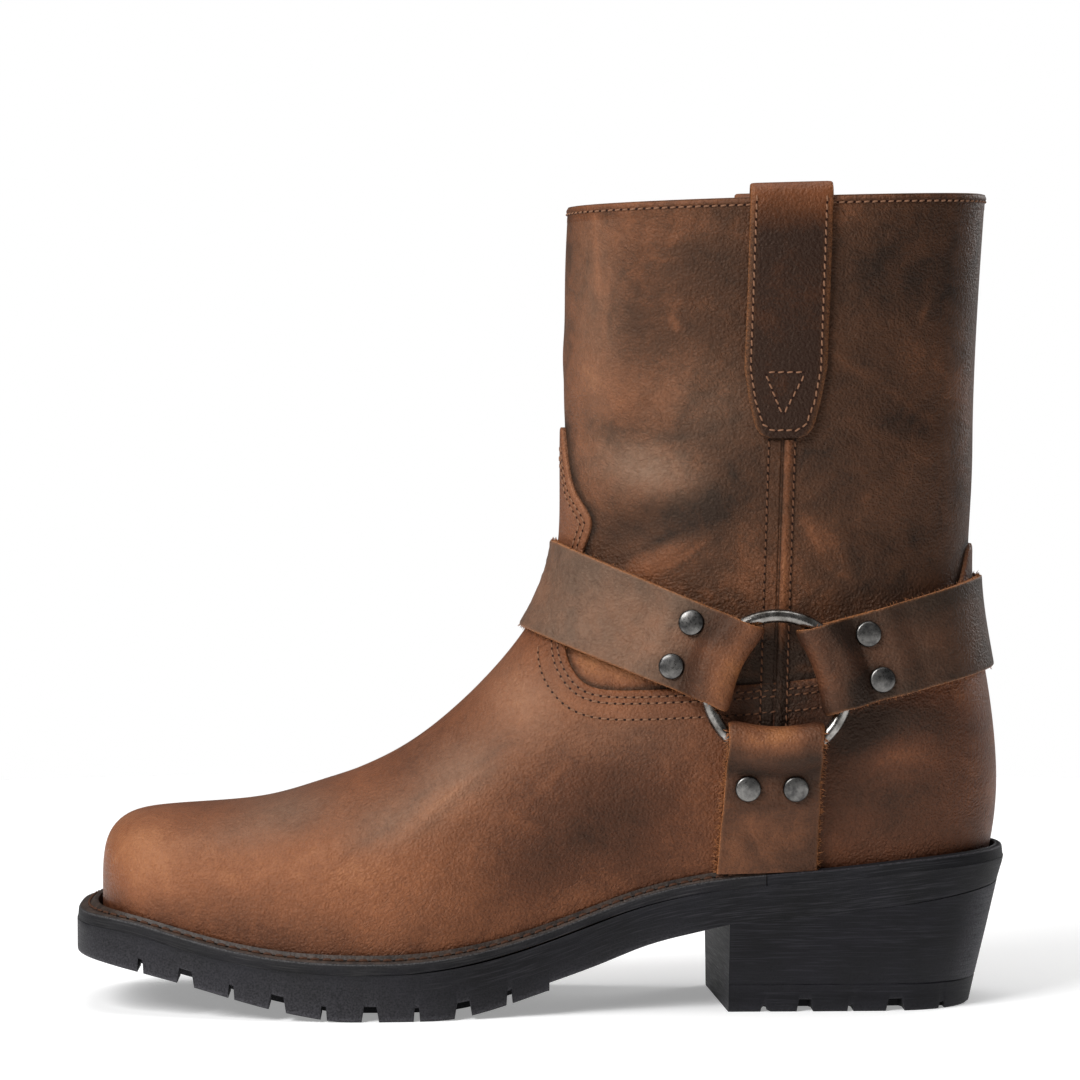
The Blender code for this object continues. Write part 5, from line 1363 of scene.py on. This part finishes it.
drop = np.linspace(4.0, TAB_INSIDE, 14)[:, None]
lift = side_place(x, rim_z(x) - drop)[2] - WALL - LINING_CLEAR - TAB_THICK / 2
tab = np.concatenate((rising, over_rim, np.stack(np.broadcast_arrays(x, -lift, top - drop), -1)))
middle = np.interp(TAB_ROUTE[:, 0], TAB[:, 0], TAB[:, 1])
left, right = (np.stack((middle + sign * TAB_ROUTE[:, 1], TAB_ROUTE[:, 0]), 1) for sign in (-1, 1))
route = np.concatenate((left, right[::-1]))
gone = arc_length(route)
seams = [read_line(np.linspace(0, gone[-1], 300), gone, route)]
seams += [a + np.linspace(0.06, 0.94, 30)[:, None] * (b - a)
          for a, b in zip(TAB_TRIANGLE[:-1], TAB_TRIANGLE[1:])]
height = both_faces(tab[..., 2])
tone = 0.06 + 0.52 * ease(252, 270, height) + 0.10 * np.exp(-((height - 236) / 10) ** 2)
stitch_lines = []
for side, sign in (("lateral", 1), ("medial", -1)):
    rings, faces = leather_strip(tab * (1, sign, 1), TAB_THICK, flat)
    weld(add_piece("pull_tab_" + side + "_leather", rings, faces, tab_leather,
                   {"tone": tone, "cut": np.tile(bare, 2 * len(rings))}, ["pull_tab_" + side]), 60)
    for x, z in (seam.T for seam in seams):
        y = sign * (-side_place(x, np.minimum(z, TAB_BEND_Z))[2] - GAP - TAB_THICK)
        stitch_lines.append((np.stack((x, y, z), 1), np.tile((0.0, -sign, 0.0), (len(x), 1))))
sewn("pull_tab_stitching", stitch_lines, PITCH, tan_thread)

# Stage: a pale round floor that glows a little, painted light that lifts its shadows, in a white room, three
# soft boxes and the camera of the photograph.
# The camera stands 1.4 m off the outer side, a little above the ankle.

CAMERA_PLACE = (-30.2, -1400.0, 202.0)
CAMERA_YAW, CAMERA_PITCH = 1.2276, 1.9773
LENS, SENSOR = 140.0, 36.0
FLOOR_REACH = 850.0
# each soft box in metres: name, place, place it is aimed at, size; and its power in watts
BOXES = (
    ("key_box", (-1.0, -1.15, 1.2), (-0.03, 0.0, 0.10), 0.9, 36.0),
    ("top_box", (0.0, 0.1, 1.8), (0.0, 0.0, 0.0), 1.4, 16.0),
    ("edge_box", (0.95, 0.85, 0.55), (0.12, 0.0, 0.10), 0.5, 4.0),
)
view = bpy.data.cameras.new("camera")
view.lens = LENS
view.sensor_width = SENSOR
view.clip_end = 50.0
eye = bpy.data.objects.new("camera", view)
eye.location = [v * MM for v in CAMERA_PLACE]
eye.rotation_euler = (math.radians(90 - CAMERA_PITCH), 0, math.radians(-CAMERA_YAW))
bpy.context.scene.collection.objects.link(eye)
bpy.context.scene.camera = eye

floor_mesh = bpy.data.meshes.new("floor")
turn = np.linspace(0, 2 * math.pi, 128, endpoint=False)
disc = FLOOR_REACH * MM * np.stack((np.cos(turn), np.sin(turn), np.zeros(128)), -1)
floor_mesh.from_pydata(disc.tolist(), [], [list(range(128))])
# the floor's emission is painted light: it glows so its shadows stay light
floor_mesh.materials.append(shaded(new_material("white studio floor")[0], {
    "Base Color": linear("#f2f2f2"), "Roughness": 0.8, "Specular IOR Level": 0.1,
    "Emission Color": linear("#ffffff"), "Emission Strength": 0.3}))
floor = bpy.data.objects.new("floor", floor_mesh)
bpy.context.scene.collection.objects.link(floor)

for name, place, aim, size, power in BOXES:
    lamp = bpy.data.lights.new(name, "AREA")
    lamp.size = size
    lamp.energy = power
    lit = bpy.data.objects.new(name, lamp)
    lit.location = place
    lit.rotation_euler = (Vector(aim) - Vector(place)).to_track_quat("-Z", "Y").to_euler()
    bpy.context.scene.collection.objects.link(lit)

sky = bpy.data.worlds.new("studio")
sky.use_nodes = True
sky.node_tree.nodes.clear()
seen = node(sky.node_tree, "LightPath").outputs["Is Camera Ray"]
bright = node(sky.node_tree, "MapRange", {"Value": seen, "To Min": 0.15, "To Max": 1.0})
paper = node(sky.node_tree, "Background", {"Strength": bright, "Color": (1, 1, 1, 1)})
node(sky.node_tree, "OutputWorld", {"Surface": paper})
bpy.context.scene.world = sky
bpy.context.scene.view_settings.view_transform = "Standard"
